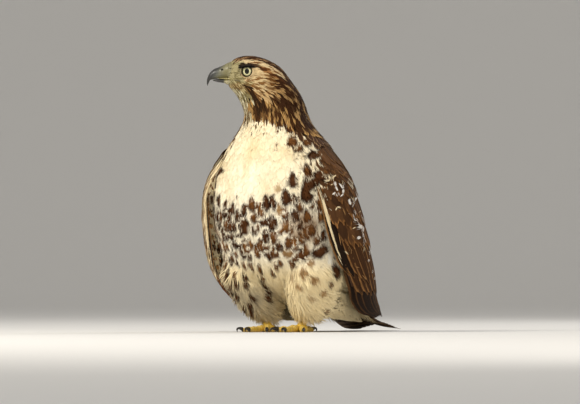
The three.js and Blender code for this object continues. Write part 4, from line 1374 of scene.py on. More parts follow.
def surface_feathers(place, normal, roots, tips, half, lift, outline, rows, cols, tilt, fringe, thick):
    """Feathers on a surface of two parameters. roots and tips are rows of (u, v), half the reach in v."""
    count = len(roots)
    t, s, across, frayed, width = vane_grid(count, rows, cols, outline, fringe, 0.2)
    along = t[None, :, None] - 0.08 * s**2 * smooth(0.6, 1, t)[None, :, None] + 0.3 * frayed
    u, middle = (roots[:, None, None, i] + (tips - roots)[:, None, None, i] * along for i in (0, 1))
    v = middle + across * half[:, None, None]
    rise = lift[:, None, None, 0] + (lift[:, 1] - lift[:, 0])[:, None, None] * smooth(0, 1, t)[None, :, None]
    high = rise - tilt * across + 0.5 * (1 - across**2) * tilt
    out = normal(u, v)
    sheets = place(u, v) + out * high[..., None]
    local = across / np.maximum(width, 0.25)[None, :, None]
    return sheets, out, np.full(count, thick), local, along


class FrontFace:
    """The thick front edge of a folded wing: u runs from shoulder to tip and w in from the outer edge."""

    def __init__(self, wing):
        self.wing = wing

    def at(self, u, w):
        u, w = np.broadcast_arrays(u, w)
        edge = self.wing.at(u, np.full(u.shape, 0.015))
        inward = -self.wing.normal(u, np.full(u.shape, 0.02))
        deep = self.wing.depth * wing_taper(np.clip(u, 0, 1)) + 1.5
        return edge + inward * (w * deep)[..., None]

    def normal(self, u, w):
        u = np.clip(u, 0.01, 0.99)
        along = self.at(u + 0.01, w) - self.at(u - 0.01, w)
        over = self.at(u, w + 0.05) - self.at(u, w - 0.05)
        return -unit(np.cross(along, over)) * self.wing.side


def wing_taper(u):
    """Share of a wing's full thickness at u."""
    return np.minimum(1, 0.25 + 3 * u) * (1 - 0.9 * smooth(0.35, 1, u))


class Tier:
    """A row of like feathers across a wing."""

    def __init__(self, kind, count, root, tip, band, half, lift, lean=0.0):
        self.kind = kind
        self.count = count
        share = np.linspace(0, 1, count)
        self.v = band[0] + (band[1] - band[0]) * share + RNG.normal(0, 0.004, count)
        uneven = RNG.normal(0, 0.013 if kind in ("lesser", "median", "greater") else 0.004, count)
        u0 = root[0] + (root[1] - root[0]) * share + uneven
        u1 = tip[0] + (tip[1] - tip[0]) * share + uneven + RNG.normal(0, 0.006, count)
        self.roots = np.stack([u0, self.v], 1)
        self.tips = np.stack([np.minimum(u1, 1.02), self.v + lean], 1)
        self.half = np.full(count, half)
        self.lift = np.array(lift) + RNG.normal(0, 0.1, (count, 1))


def wing_tiers(front):
    """The rows of feathers of a folded wing, from the primaries up; front is where the dark part begins."""
    tiers = [
        Tier("primary", 10, (0.5, 0.6), (0.93, 1.02), (0.03, 0.6), 0.085, (-1.0, 0.9), 0.02),
        Tier("secondary", 8, (0.58, 0.66), (0.94, 1.0), (0.45, 0.96), 0.08, (-0.9, 1.1)),
        Tier("secondary", 14, (0.34, 0.42), (0.7, 0.9), (0.1, 0.97), 0.066, (-0.8, 1.6)),
        Tier("alula", 5, (0.2, 0.26), (0.55, 0.66), (0.0, 0.2), 0.05, (-0.6, 1.9), 0.02),
        Tier("greater", 16, (0.24, 0.27), (0.46, 0.56), (0.1, 0.97), 0.052, (-0.6, 2.2)),
        Tier("median", 16, (0.17, 0.19), (0.35, 0.4), (front, 0.96), 0.05, (-0.5, 2.4)),
    ]
    for k in range(6):
        low = 0.145 - 0.034 * k
        count = 17 - k // 2
        tiers.append(Tier("lesser", count, (low, low + 0.01), (low + 0.125, low + 0.135),
                          (front + 0.012 * (k % 2), 0.955 - 0.006 * k), 0.046, (-0.3, 2.3)))
    return tiers


def edge_tiers(rows, wide, start, end):
    """Pale feathers along a wing's front edge, from u = start to u = end."""
    tiers = []
    for k, v in enumerate(rows):
        for u in np.linspace(start, end, round((end - start) * 42)) + 0.012 * (k % 2):
            tiers.append(Tier("edge", 1, (u, u), (u + 0.14, u + 0.14), (v, v), wide, (-0.4, 2.1), 0.012))
    return tiers


# Base, mark and core of each kind of wing feather, with its mark's width, middle and length
TIER_LOOKS = {
    "primary": ("#5a3d22", QUILL_DARK, "#3a2718", [0.93, 0.48, 0.62]),
    "secondary": ("#8a6239", "#3f2816", "#573719", [0.92, 0.45, 0.56]),
    "alula": ("#8a6239", "#3f2816", "#573719", [0.92, 0.45, 0.56]),
    "greater": ("#9a6b3c", WING_DARK, "#7a4c26", [1.02, 0.38, 0.57]),
    "median": ("#9a6b3c", WING_DARK, "#80502a", [1.02, 0.38, 0.57]),
    "lesser": ("#8c6036", WING_DARK, "#80502a", [1.0, 0.4, 0.56]),
    "edge": (WARM_CREAM, SPOT_DARK, SPOT_BROWN, [0.0, 0.6, 0.3]),
}
# How strong and how close a feather's cross bars are, and how dark its shaft
TIER_BARS = {"primary": [0.0, 0.0, 0.9], "secondary": [0.3, 26.0, 0.7], "alula": [0.3, 26.0, 0.7]}
# Base and mark of the pale ones among the coverts
PALE_LOOKS = {
    "greater": ("#e6dcc8", [1.1, 0.37, 0.545]),
    "median": ("#e6dcc8", [1.1, 0.37, 0.54]),
    "lesser": ("#dccfb4", [1.1, 0.38, 0.535]),
}
EDGE_SHADE_KINDS = ("greater", "secondary", "alula", "primary")  # the kinds that get near-black painted shade along the front edge


def tier_looks(tier):
    """Looks of a wing's feathers by kind, with pale and rufous ones among them."""
    kind, count, v = tier.kind, tier.count, tier.v
    looks = Looks(count)
    chance = RNG.random(count)
    every = np.ones(count, bool)
    looks.set(every, *TIER_LOOKS[kind])
    if kind in TIER_BARS:
        looks.bars[:] = TIER_BARS[kind]
    if kind in PALE_LOOKS:
        front = v < 0.36
        patchy = cloud(tier.roots[:, 0] * 14, v * 9 + 3)
        pale, spot = PALE_LOOKS[kind]
        looks.set((patchy > 0.4) & (v > 0.26) & (v < 0.82) & (chance < 0.32), pale, spot=spot)
        looks.set(front & (chance > 0.9), "#c9b189", spot=[1.7, 0.4, 0.54])
        looks.set((v > 0.62) & (chance > 0.5), "#a9845a", spot=[0.95, 0.42, 0.54])
        tone = RNG.random(count)
        looks.mark[:] = blend(tone, linear("#3b2616"), linear("#5e3f25"))
        looks.core[:] = blend(tone, linear("#553820"), linear("#7b5633"))
        looks.spot[front, 0] = 1.5
    if kind == "edge":
        inner = v > 0.02
        looks.set((chance < 0.85) & inner, mark="#8a6440", core="#a57f55", spot=[0.8, 0.7, 0.24])
        looks.set((chance < 0.3) & inner, mark=SPOT_DARK, core=SPOT_BROWN)
        looks.set(inner & (tier.roots[:, 0] > 0.5), "#b06c38", "#3d2415", "#5a3820", [0.9, 0.75, 0.16])
    # Painted shade: near-black marks along the wing's front edge.
    if kind in EDGE_SHADE_KINDS:
        looks.set(v < 0.05, mark="#1f140c", core="#2a1a10")
    return looks.table()


def face_tiers():
    """Barred cream feathers on the front face of the wing that stands off the body."""
    tiers = []
    for u in np.linspace(0.0, 0.8, 30):
        for k, w in enumerate((0.08, 0.3, 0.52, 0.76)):
            at = u + 0.012 * (k % 2) + RNG.normal(0, 0.003)
            tiers.append(Tier("face", 1, (at, at), (at + 0.1, at + 0.1), (w, w), 0.2, (-0.5, 1.2)))
    return tiers


def face_looks(tier):
    """Looks of one barred feather of the front face, dark towards the body and rufous near the tip."""
    u, w = tier.roots[0]
    looks = Looks(1)
    every = np.ones(1, bool)
    looks.set(every, UNDERWING, UNDERWING_BAR, "#9b6a3e", [0.0, 0.6, 0.3])
    if RNG.random() < 0.75:
        looks.set(every, spot=[RNG.uniform(0.5, 1.0), RNG.uniform(0.6, 0.85), RNG.uniform(0.14, 0.24)])
    if RNG.random() < 0.3:
        looks.set(every, mark=SPOT_DARK, core=SPOT_BROWN)
    if u > 0.5 and w < 0.5:
        looks.set(every, "#b9733f", "#4a2a17", spot=[0.6, 0.5, 0.4])
    if u > 0.36 and w > 0.7:
        looks.set(every, "#3a2819", "#1f140c", spot=[0.9, 0.5, 0.5])
    return looks.table()


QUILLS = ("primary", "secondary", "alula")
SHOULDER_LAP = 3  # how far the breast's feathers reach over the wing's
BACK_DEPTH = 12  # the folded wing's thickness along its back edge


def tier_parts(surface, tier):
    """Shapes of a tier's feathers, fuller at the tip and less frayed on the quills."""
    outline, fringe = (flight_outline, 0.035) if tier.kind in QUILLS else (covert_outline, 0.07)
    return surface_feathers(
        surface.at, surface.normal, tier.roots, tier.tips, tier.half, tier.lift, outline,
        rows=16, cols=6, tilt=0.5, fringe=fringe, thick=0.35,
    )


def together(groups):
    """The same parts of several groups of feathers, joined."""
    return [np.concatenate(parts) for parts in zip(*groups)]


def add_wing(name, shape):
    """A folded wing: its feathers, save those under the breast's, and the core that they lie on."""
    wing = Wing(shape)
    right = wing.side < 0
    tiers = wing_tiers(0.2 if right else 0.07)
    if right:
        tiers += edge_tiers((0.16, 0.11, 0.06, 0.02), 0.032, 0.0, 0.74)
    else:
        tiers += edge_tiers((-0.004,), 0.008, 0.16, 0.36)
    jobs = [(tier_parts(wing, tier), tier_looks(tier), tier.roots) for tier in tiers]
    if right:
        face = FrontFace(wing)
        jobs += [(tier_parts(face, tier), face_looks(tier), tier.roots) for tier in face_tiers()]
    shapes, looks, roots = zip(*jobs)
    parts = together(shapes)
    looks = {key: np.concatenate([one[key] for one in looks]) for key in looks[0]}
    patches = 0.02 + 0.95 * np.clip(np.concatenate(roots), 0, 1)
    tips = parts[0][:, -2].mean(1)
    free = (over_shoulder(tips) < SHOULDER_LAP) | (tips[:, 2] < SHOULDER_LOW) | right
    looks = {key: value[free] for key, value in looks.items()}
    add_feathers(
        f"wing_{name}_feathers", *(part[free] for part in parts), looks, patches[free], PLUMAGE,
        "plumage_wing", mirrored=right,
    )
    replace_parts(wing_core(f"wing_{name}_core", wing), f"wing_{name}")


def wing_core(name, wing):
    """The folded wing's thickness under its feathers."""
    along, over = 34, 12
    u = np.linspace(0.01, 0.95, along + 1)
    v = np.linspace(0.015, 0.985, over + 1)
    uu, vv = np.meshgrid(u, v, indexing="ij")
    skin = wing.at(uu, vv) - wing.normal(uu, vv) * 0.4
    back_v = 0.03 + 0.94 * vv
    deep = 1.6 + wing_taper(u)[:, None] * (wing.depth + (BACK_DEPTH - wing.depth) * smooth(0, 0.7, back_v))
    under = wing.at(uu, back_v) - wing.normal(uu, back_v) * (0.8 + deep)[..., None]
    rings = np.concatenate([skin, under[:, ::-1]], 1)
    # Painted shade: the underside is pale on the right wing and near black on the left, whose underside faces
    # the body in shade.
    tones = (WING_DARK, UNDERWING if wing.side < 0 else QUILL_DARK)
    colours = np.concatenate([np.tile(linear(tone), (along + 1, over + 1, 1)) for tone in tones], 1)
    places = np.stack(np.meshgrid(u, np.linspace(0, 1, rings.shape[1]), indexing="ij"), -1).reshape(-1, 2)
    uv = np.concatenate([places, places[:1], places[-1:]]) * 0.95 + 0.02
    paint = {"base": painted_points(colours)}
    return loft(name, rings, SKIN, "plumage_wing", flip=wing.side > 0, uv=uv, paint=paint)


# Tail

TAIL_ARCH = 420.0  # the tail's sheet falls by the square of the distance to its middle over this
TAIL_PAIRS = 6
TAIL_SPREAD = (1.6, 5.6)  # from feather to feather at the roots and at the tips
TAIL_HALF = 12.5
TAIL_STEP_DOWN = 1.05
TAIL_CLEAR = 0.6  # lowest point of the tail
COVERT_HALF = 7.5
TAIL_CURVE = curve_points(TAIL_LINE, 1)


def tail_at(u, x):
    """A place on the tail's sheet: u runs from root to tip and x across in millimetres."""
    u, x = np.broadcast_arrays(np.clip(u, 0, 1), x)
    knots = np.linspace(0, 1, SAMPLES)
    place = np.stack([np.interp(u, knots, TAIL_CURVE[:, i]) for i in range(3)], -1)
    return place + np.stack([x, np.zeros(x.shape), -(x**2) / TAIL_ARCH], -1)


def tail_normal(u, x):
    u = np.clip(u, 0.01, 0.99)
    along = tail_at(u + 0.01, x) - tail_at(u - 0.01, x)
    over = tail_at(u, x + 1) - tail_at(u, x - 1)
    return unit(np.cross(over, along))


def tail_outline(t):
    return np.interp(t, [0, 0.1, 0.5, 0.9, 0.97, 1], [0.35, 0.6, 0.95, 1.0, 0.86, 0.5])


def tail_feather(root, tip, half, lift, *shape):
    """One feather on the tail's sheet."""
    root, tip, lift = (np.array([pair]) for pair in (root, tip, lift))
    return surface_feathers(tail_at, tail_normal, root, tip, np.array([half]), lift, *shape)


def tail_parts(feathers):
    """Feathers of the tail joined and kept off the floor."""
    parts = together(feathers)
    parts[0][..., 2] = np.maximum(parts[0][..., 2], TAIL_CLEAR)
    return parts


def add_tail():
    """Six pairs of barred feathers, each a step under the one before."""
    feathers, roots = [], []
    for i in range(TAIL_PAIRS):
        for side in (1, -1):
            root, tip = ((i + 0.5) * spread * side for spread in TAIL_SPREAD)
            down = -TAIL_STEP_DOWN * (i + (0 if side > 0 else 0.5))
            feathers.append(tail_feather(
                (0.06, root), (1 - 0.006 * i, tip), TAIL_HALF, (down * 0.3, down), tail_outline, 40, 8,
                -0.2 * side, 0.03, 0.5,
            ))
            roots.append((0.5 + root / 40, 0.1))
    count = len(feathers)
    looks = {
        "base": blend(np.arange(count) % 4 / 9, linear(TAIL_BASE), linear(TAIL_BAR)),
        "mark": np.tile(linear(TAIL_BAR), (count, 1)),
        "core": np.tile(linear(TAIL_BAR), (count, 1)),
        "spot": np.tile([0.0, 0.5, 0.5], (count, 1)),
        "bars": np.tile([0.85, 62.0, 0.8], (count, 1)),
    }
    parts = tail_parts(feathers)
    tail = add_feathers("tail_feathers", *parts, looks, np.array(roots), PLUMAGE, "plumage_tail")
    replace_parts(tail, "tail")


def add_rump():
    """A plain rump round the tail's root, for the coverts to lie on."""
    rows, around, reach = 12, 24, 0.46
    turn = ring_turns(around)
    rings = []
    for u in np.linspace(0, reach, rows):
        t = u / reach
        high, low = 9 - 8 * t, 16 - 9 * t
        wide = (26 - 7 * t) * (1 if t < 0.95 else 0.8)
        at = np.full(around, u), wide * np.sin(turn)
        rise = np.where(np.cos(turn) > 0, high, low) * np.cos(turn)
        rings.append(tail_at(*at) + tail_normal(*at) * rise[:, None])
    uv = np.zeros((rows * around + 2, 2))
    uv[:-2, 0] = np.repeat(np.linspace(0.05, 0.9, rows), around)
    uv[:-2, 1] = np.tile(np.linspace(0.05, 0.95, around), rows)
    colour = np.tile(linear(WARM_CREAM), (len(uv), 1))
    loft("rump", rings, SKIN, "plumage_cream", flip=True, uv=uv, paint={"base": colour})


def covert_lift(above, row, x):
    """How far a covert's root and tip lie over the tail's sheet, negative below it."""
    root = 7.5 - 1.4 * row if above > 0 else -13.5 + 1.2 * row
    tip = 5.5 - 1.0 * row if above > 0 else -13 + 1.2 * row
    return root - above * 3.2 * x * x, tip - above * 2.6 * x * x


def add_tail_coverts():
    """Feathers over the tail's root, dark above and cream below."""
    feathers, roots, sides = [], [], []
    for above in (1, -1):
        for row in range(5):
            for x in np.linspace(-1, 1, 7 - row % 2):
                u = 0.055 * row
                reach = 15 - 1.5 * row
                root, tip = (u, x * reach), (u + 0.26 - 0.03 * abs(x), x * (reach + 3))
                lift = covert_lift(above, row, x)
                feathers.append(tail_feather(
                    root, tip, COVERT_HALF, lift, covert_outline, 14, 6, 0.3, 0.12, 0.35,
                ))
                roots.append((0.5 + above * 0.25 + x * 0.2, 0.1 + u))
                sides.append(above)
    count = len(sides)
    up = np.array(sides) > 0
    looks = {
        "base": pick(up, linear("#cdb48c"), linear(CREAM)),
        "mark": np.tile(linear(BACK_DARK), (count, 1)),
        "core": np.tile(linear(BACK_CORE), (count, 1)),
        "spot": pick(up, np.array([0.8, 0.4, 0.5]), np.array([0.0, 0.5, 0.4])),
        "bars": np.zeros((count, 3)),
    }
    add_feathers("tail_coverts", *tail_parts(feathers), looks, np.array(roots), PLUMAGE, "plumage_cream")


# Bill and eyes, in the head's frame

# Rings of the cere and the bill: forward place and height at the top and at the bottom, and half width
CERE = [(43.4, 349.6, 43, 328.9, 9.8), (48, 347.2, 47.4, 328.9, 8.7), (52.4, 345, 52, 328.8, 7.8),
        (56.4, 343.4, 56.4, 328.7, 7)]
UPPER_BILL = [(56.2, 343.2, 56.2, 328.7, 6.85), (61.2, 341.6, 60.7, 328.1, 6.2),
              (65.2, 338.6, 64.4, 327.4, 5.3), (68.5, 334.6, 66.8, 326.8, 4.3),
              (70.6, 329.8, 67.9, 325.4, 3.2), (71.5, 325.2, 69, 323, 2.1),
              (71.3, 321.8, 69.9, 320.9, 1.2), (70.7, 319.6, 70.2, 319.2, 0.45)]
LOWER_BILL = [(44.4, 328.4, 44.6, 322.6, 7.4), (50, 328.3, 50, 322.9, 6.6), (56.4, 328.1, 56.2, 323.8, 5.4),
              (61, 327.6, 60.6, 324.8, 3.8), (64, 326.9, 63.6, 325.8, 1.8)]
NOSTRIL = (51.4, 339.9, 1.5)  # forward place, height and half width
BILL_RIDGE = ([44, 52, 60, 66, 70, 72], [349, 345, 341, 337, 330, 322])


def fine_rows(rows, count):
    """A table's rows on a smooth curve, resampled."""
    table = np.array(rows, float)
    knots = np.arange(len(table))
    t = np.linspace(0, len(table) - 1, count)
    k = np.minimum(t.astype(int), len(table) - 2)
    w = (t - k)[:, None]
    slopes = np.gradient(table, knots, axis=0)
    a, b, sa, sb = table[k], table[k + 1], slopes[k], slopes[k + 1]
    through = a * (1 + 2 * w) * (1 - w) ** 2 + b * w * w * (3 - 2 * w)
    return through + sa * w * (1 - w) ** 2 + sb * w * w * (w - 1)


def ring_width(half, turn, rise):
    """How far out a ring's points lie, widest below the middle."""
    return half * np.sin(turn) * (0.9 + 0.49 * rise * (1 - rise))


def bill_rings(rows, count, sides):
    rings = []
    turn = ring_turns(sides)
    rise = (1 - np.cos(turn)) / 2
    for top_g, top_z, low_g, low_z, half in fine_rows(rows, count):
        g = top_g + (low_g - top_g) * rise
        z = top_z + (low_z - top_z) * rise
        rings.append(head_point(g, ring_width(half, turn, rise), z))
    return np.array(rings)


def bill_colours(points):
    """Olive at the root, blue-grey further out and near black at the tip and along the ridge."""
    g = head_local(points)[0]
    z = points[:, 2]
    ridge = np.interp(g, *BILL_RIDGE)
    colour = blend(smooth(46, 60, g), linear("#78724e"), linear("#65675c"))
    colour = blend(smooth(57, 67, g + 0.5 * (z - 330)), colour, linear("#2f3030"))
    colour = blend(smooth(-5.5, -0.5, z - ridge) * 0.8 * smooth(44, 56, g), colour, linear("#262522"))
    colour = blend(smooth(326, 319, z) * smooth(66, 69, g), colour, linear("#100f0e"))
    low = smooth(333, 329.5, z) * smooth(62, 54, g)
    return blend(low * 0.6, colour, linear("#968d58"))


def lower_bill_colours(points):
    """Dull yellow at the root and dark from the cere on."""
    return blend(smooth(45, 51, head_local(points)[0]), linear("#8f8658"), linear("#2b2926"))


def cere_rings():
    """The cere's rings with both nostrils, and how far each point lies in one."""
    rings = bill_rings(CERE, 30, 44)
    g, z, radius = NOSTRIL
    offset = rings - head_point(g, 0, z)
    lateral = offset @ LEFTWARD
    flat = offset - lateral[..., None] * LEFTWARD
    apart = np.linalg.norm(flat * [1, 1, 1.35], axis=-1)
    dent = smooth(radius * 1.3, radius * 0.4, apart)
    rim = np.exp(-((apart - radius * 1.6) ** 2) / 0.4)
    return rings + LEFTWARD * (np.sign(lateral) * (0.3 * rim - 2.4 * dent))[..., None], dent


def add_bill():
    """Both halves of the bill, the cere, the line of the mouth and the bristles."""
    horn = painted_material("horn", 0.42, 0.1)
    waxy = painted_material("waxy_cere", 0.48, 0.08)
    halves = (
        ("bill_upper", UPPER_BILL, 40, bill_colours),
        ("bill_lower", LOWER_BILL, 26, lower_bill_colours),
    )
    for name, rows, count, colours_at in halves:
        rings = bill_rings(rows, count, 32)
        paint = {"base": colours_at(painted_points(rings))}
        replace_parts(loft(f"{name}_horn", rings, horn, "bill", flip=True, paint=paint), name)
    rings, dent = cere_rings()
    dent = np.append(dent, [0, 0])
    # Painted shade: the nostrils' dents are painted near black.
    colour = blend(np.clip(dent * 1.6, 0, 1), bill_colours(painted_points(rings)), linear("#0d0a08"))
    cere = loft("cere_skin", rings, waxy, "cere", flip=True, paint={"base": colour})
    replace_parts(cere, "cere")
    add_gape(waxy)
    add_bristles()


def sweep(name, path, radii, material, slot, paint, around=12, squash=1.0):
    """A tapered tube along a path, level sideways."""
    path = np.asarray(path, float)
    ahead = unit(np.gradient(path, axis=0))
    side = unit(np.cross(ahead, UP))
    over = np.cross(side, ahead)
    turn = ring_turns(around)
    rings = (
        path[:, None]
        + side[:, None] * (np.cos(turn)[None, :] * radii[:, None])[..., None]
        + over[:, None] * (np.sin(turn)[None, :] * radii[:, None] * squash)[..., None]
    )
    return loft(name, rings, material, slot, paint={"base": paint(painted_points(rings), turn)})


# Forward place, distance from the head's middle and height along the corner of the mouth and over the eye
GAPE = [(56, 6.4, 328.6), (50, 7.8, 328.7), (44, 9.2, 328.3), (38, 12, 327.2), (32, 14.6, 325.8),
        (27, 16.6, 324.4)]
BROW = [(31, 0, 341.4), (27, 0, 343.0), (22, 0, 344.0), (17, 0, 344.4), (12, 0, 343.6), (8, 0, 342.0)]
GAPE_STEPS = 24
BROW_STEPS = 28
HEAD_CLEAR = 60.0  # further out than the head reaches


def head_path(rows, side, count):
    """A path on the side of the head, moved out to the surface where that is further out."""
    places = []
    for g, l, z in fine_rows(rows, count):
        start = head_point(g, side * HEAD_CLEAR, z)
        hit = BODY.hit(start, -side * LEFTWARD)
        reach = HEAD_CLEAR - np.linalg.norm(np.array(hit) - start) if hit is not None else 0
        places.append(head_point(g, side * max(l, reach), z))
    places = np.array(places)
    places[1:-1] = (places[:-2] + places[1:-1] + places[2:]) / 3
    return places


def gape_colours(points, turn):
    """Yellow along the bill and dusky back at the corner of the mouth."""
    return blend(smooth(42, 30, head_local(points)[0]), linear("#968b57"), linear("#5a4f36"))


def add_gape(material):
    """Soft skin along the line of the mouth."""
    for name, side in SIDES:
        radii = 0.25 + 0.55 * np.sin(np.pi * np.linspace(0, 1, GAPE_STEPS))
        sweep(f"gape_{name}", head_path(GAPE, side, GAPE_STEPS), radii, material, "cere", gape_colours)


def brow_colours(points, turn):
    """Painted shade: black underneath and dark brown on top, for the deep shadow that the ridge casts over the
    eye.
    """
    shade = np.tile(np.clip(np.sin(turn) * 1.4, -1, 1), BROW_STEPS)
    return blend(smooth(-0.3, 0.9, np.append(shade, [0, 0])), linear("#0a0604"), linear("#21160d"))


def add_brows(material):
    """The bony ridge that shades each eye."""
    for name, side in SIDES:
        path = head_path(BROW, side, BROW_STEPS)
        radii = 0.3 + 2.9 * np.sin(np.pi * np.linspace(0, 1, BROW_STEPS)) ** 0.8
        sweep(f"brow_{name}", path, radii, material, "plumage_brown", brow_colours, around=16, squash=0.75)


BRISTLE_CURL = 0.12


def lay_straight(name, roots, ways, normals, lengths, halves, looks, slot):
    """Short straight feathers where there is no coat to follow, of five rows and two columns."""
    count = len(roots)
    t = np.linspace(0, 1, 6)
    s = np.linspace(-1, 1, 3)
    ways = unit(ways - normals * (ways * normals).sum(1, keepdims=True))
    side = np.cross(ways, normals)
    across = s[None, None, :] * np.interp(t, *STRAND)[None, :, None] * np.ones((count, 1, 1))
    high = (-0.3 + BRISTLE_CURL * lengths[:, None] * t[None, :])[:, :, None] - 0.1 * across**2
    sheets = (
        roots[:, None, None]
        + ways[:, None, None] * (t[None, :] * lengths[:, None])[:, :, None, None]
        + side[:, None, None] * (across * halves[:, None, None])[..., None]
        + normals[:, None, None] * high[..., None]
    )
    out = np.broadcast_to(normals[:, None, None], sheets.shape)
    along = np.broadcast_to(t[None, :, None], across.shape)
    patches = coat_map(roots)
    return add_feathers(name, sheets, out, np.full(count, 0.12), across, along, looks, patches, PLUMAGE, slot)


def add_bristles():
    """Fine bristles over the root of the bill and short chin feathers under it."""
    roots, normals, ways, long = [], [], [], []
    angles = ring_turns(46)
    for rows, far, count in ((CERE, 0.26, 5), (LOWER_BILL, 0.2, 4)):
        upper = rows is CERE
        for share in np.linspace(0, far, count):
            top_g, top_z, low_g, low_z, half = fine_rows(rows, 101)[int(share * 100)]
            for angle in angles + RNG.uniform(0, 0.1):
                rise = (1 - math.cos(angle)) / 2
                bare = rise > 0.86 or share > 0.14 + 0.16 * rise if upper else rise < 0.35
                if bare:
                    continue
                g = top_g + (low_g - top_g) * rise + RNG.normal(0, 0.4)
                roots.append(head_point(g, ring_width(half, angle, rise), top_z + (low_z - top_z) * rise))
                normals.append(unit(LEFTWARD * math.sin(angle) * 1.2 + UP * math.cos(angle) + FORWARD * 0.25))
                ways.append(-FORWARD + UP * (-0.15 if upper else -0.45) + RNG.normal(0, 0.12, 3))
                long.append(RNG.uniform(4.5, 7.0))
    roots, normals, ways, long = (np.array(a) for a in (roots, normals, ways, long))
    count = len(roots)
    looks = Looks(count)
    under = roots[:, 2] < 328
    looks.base[:] = blend(RNG.random(count), linear("#918a69"), linear("#aaa483"))
    looks.base[under] = blend(RNG.random(under.sum()), linear("#b4ab89"), linear("#cfc7a6"))
    looks.set(np.ones(count, bool), mark="#6f6a50", spot=[0.25, 0.5, 0.5])
    lay_straight("bristles", roots, ways, normals, long, np.full(count, 0.5), looks.table(), "plumage_brown")


PUPIL = (3.05, 3.8)
IRIS = 5.75
LIDS_OPEN = 6.7  # where the lids meet the ball
LIDS_AHEAD = math.sqrt(EYE_BALL**2 - LIDS_OPEN**2) + 0.5
EYE_RINGS = np.concatenate([
    [EYE_OPENING + 0.3, 6.3, 6.0, 5.8, 5.6], np.linspace(5.2, 4.4, 4), np.linspace(4.1, 2.7, 14),
    np.linspace(2.2, 0.05, 5),
])


def eye_tones(radius, turn):
    """Colours of one ring of the eye: a pale iris with a darker rim round a black pupil."""
    pupil = 1 / np.hypot(np.sin(turn) / PUPIL[0], np.cos(turn) / PUPIL[1])
    iris = blend([float(smooth(4.6, 5.9, radius))], linear("#e9e3b2"), linear("#a9a368"))[0]
    inner = float(smooth(3.7, 2.8, radius)) * 0.35
    tint = iris * (1 - inner) + linear("#a99a4e") * inner
    fleck = 1 + 0.1 * np.sin(turn * 17 + radius * 3) * np.sin(turn * 5)
    black = np.clip(smooth(0.1, -0.1, radius - pupil) + smooth(IRIS, IRIS + 0.2, radius), 0, 0.998)
    return tint * (fleck * (1 - black))[:, None]


def add_eyes():
    """Both eyes with their lids and brows."""
    wet = eye_material()
    rim_skin = painted_material("eyelid", 0.5, shine=0.1)
    turn = ring_turns(48)
    base = LIDS_AHEAD - 0.25 - EYE_BALL
    for name, side in SIDES:
        centre, look = eye_axis(side)
        up = unit(UP - look * (UP @ look))
        spin = np.cos(turn)[:, None] * up + np.sin(turn)[:, None] * np.cross(up, look)
        rings = [centre + look * (LIDS_AHEAD - 5.4) + EYE_OPENING * 0.9 * spin]
        tones = [np.zeros((len(turn), 3)) + 0.01]
        for radius in EYE_RINGS:
            rings.append(centre + look * (base + math.sqrt(EYE_BALL**2 - radius**2)) + radius * spin)
            tones.append(eye_tones(radius, turn))
        paint = {"base": painted_points(np.array(tones))}
        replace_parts(loft(f"eye_{name}_ball", rings, wet, "eye", flip=True, paint=paint), f"eye_{name}")
        add_eyelid(name, centre, look, spin, turn, rim_skin)
    add_brows(rim_skin)


def add_eyelid(name, centre, look, spin, turn, material):
    """The dark rim of the lids, a little flattened above."""
    sides, steps = len(turn), 12
    squint = 1 - 0.1 * np.clip(np.cos(turn), 0, 1) ** 2
    rings, tones = [], []
    for k in range(steps):
        bend = 2 * np.pi * k / steps
        radius = 6.75 + 0.85 * math.cos(bend)
        ahead = LIDS_AHEAD - 0.1 + 0.9 * math.sin(bend)
        rings.append(centre + look * ahead + (radius * squint)[:, None] * spin)
        outer = float(smooth(0.1, 0.9, math.cos(bend)))
        tones.append(np.tile(linear("#15100b") * (1 - outer) + linear("#6d6244") * outer, (sides, 1)))
    r, c = grid(steps, sides)
    here, above = r * sides, (r + 1) % steps * sides
    beside = (c + 1) % sides
    faces = np.stack([here + c, here + beside, above + beside, above + c], 1)
    paint = {"base": np.concatenate(tones)}
    add_object(f"eyelids_{name}", np.array(rings), faces, material, "plumage_brown", paint=paint)


# Feet

BALL_RINGS = [(9.4, 6.2), (7.6, 8.4), (5, 9.3), (2, 9.2), (0.5, 8.6), (0, 8.2)]  # height and radius
# Distance out from the bird's middle, distance back, height and both half widths, down the shank
SHANK_RINGS = [(33, 13, 32, 6, 6.6), (30, 11.5, 22, 5.6, 6.2), (27.5, 9.5, 14.5, 5.6, 6.2),
               (25, 7, 9.2, 6, 6.2)]
# Degrees outwards from straight ahead, length, thickness and the claw's length
TOES = [("inner", -26, 36, 9.4, 24), ("middle", 3, 47, 9, 20), ("outer", 34, 37, 8.2, 17),
        ("hind", 176, 27, 9.4, 26)]
TOE_START = 5.0
TOE_STEPS = 44
TOE_PLATES = 9
CLAW_STEPS = 24
CLAW_CLEAR = 0.1  # lowest point of a claw
TOE_YELLOW, TOE_PALE, TOE_DUSK = linear("#d9b23f"), linear("#efd98c"), linear("#8f7434")


def add_leg_skin(node, rows, tone, material):
    """Scaly skin through level rings of two half widths."""
    turn = ring_turns(28)
    rings = [
        np.stack([x + wide * np.sin(turn), y - deep * np.cos(turn), np.full(len(turn), z)], 1)
        for x, y, z, wide, deep in rows
    ]
    colour = np.tile(tone, (len(rings) * len(turn) + 2, 1))
    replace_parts(loft(f"{node}_skin", rings, material, "leg", paint={"base": colour}), node)


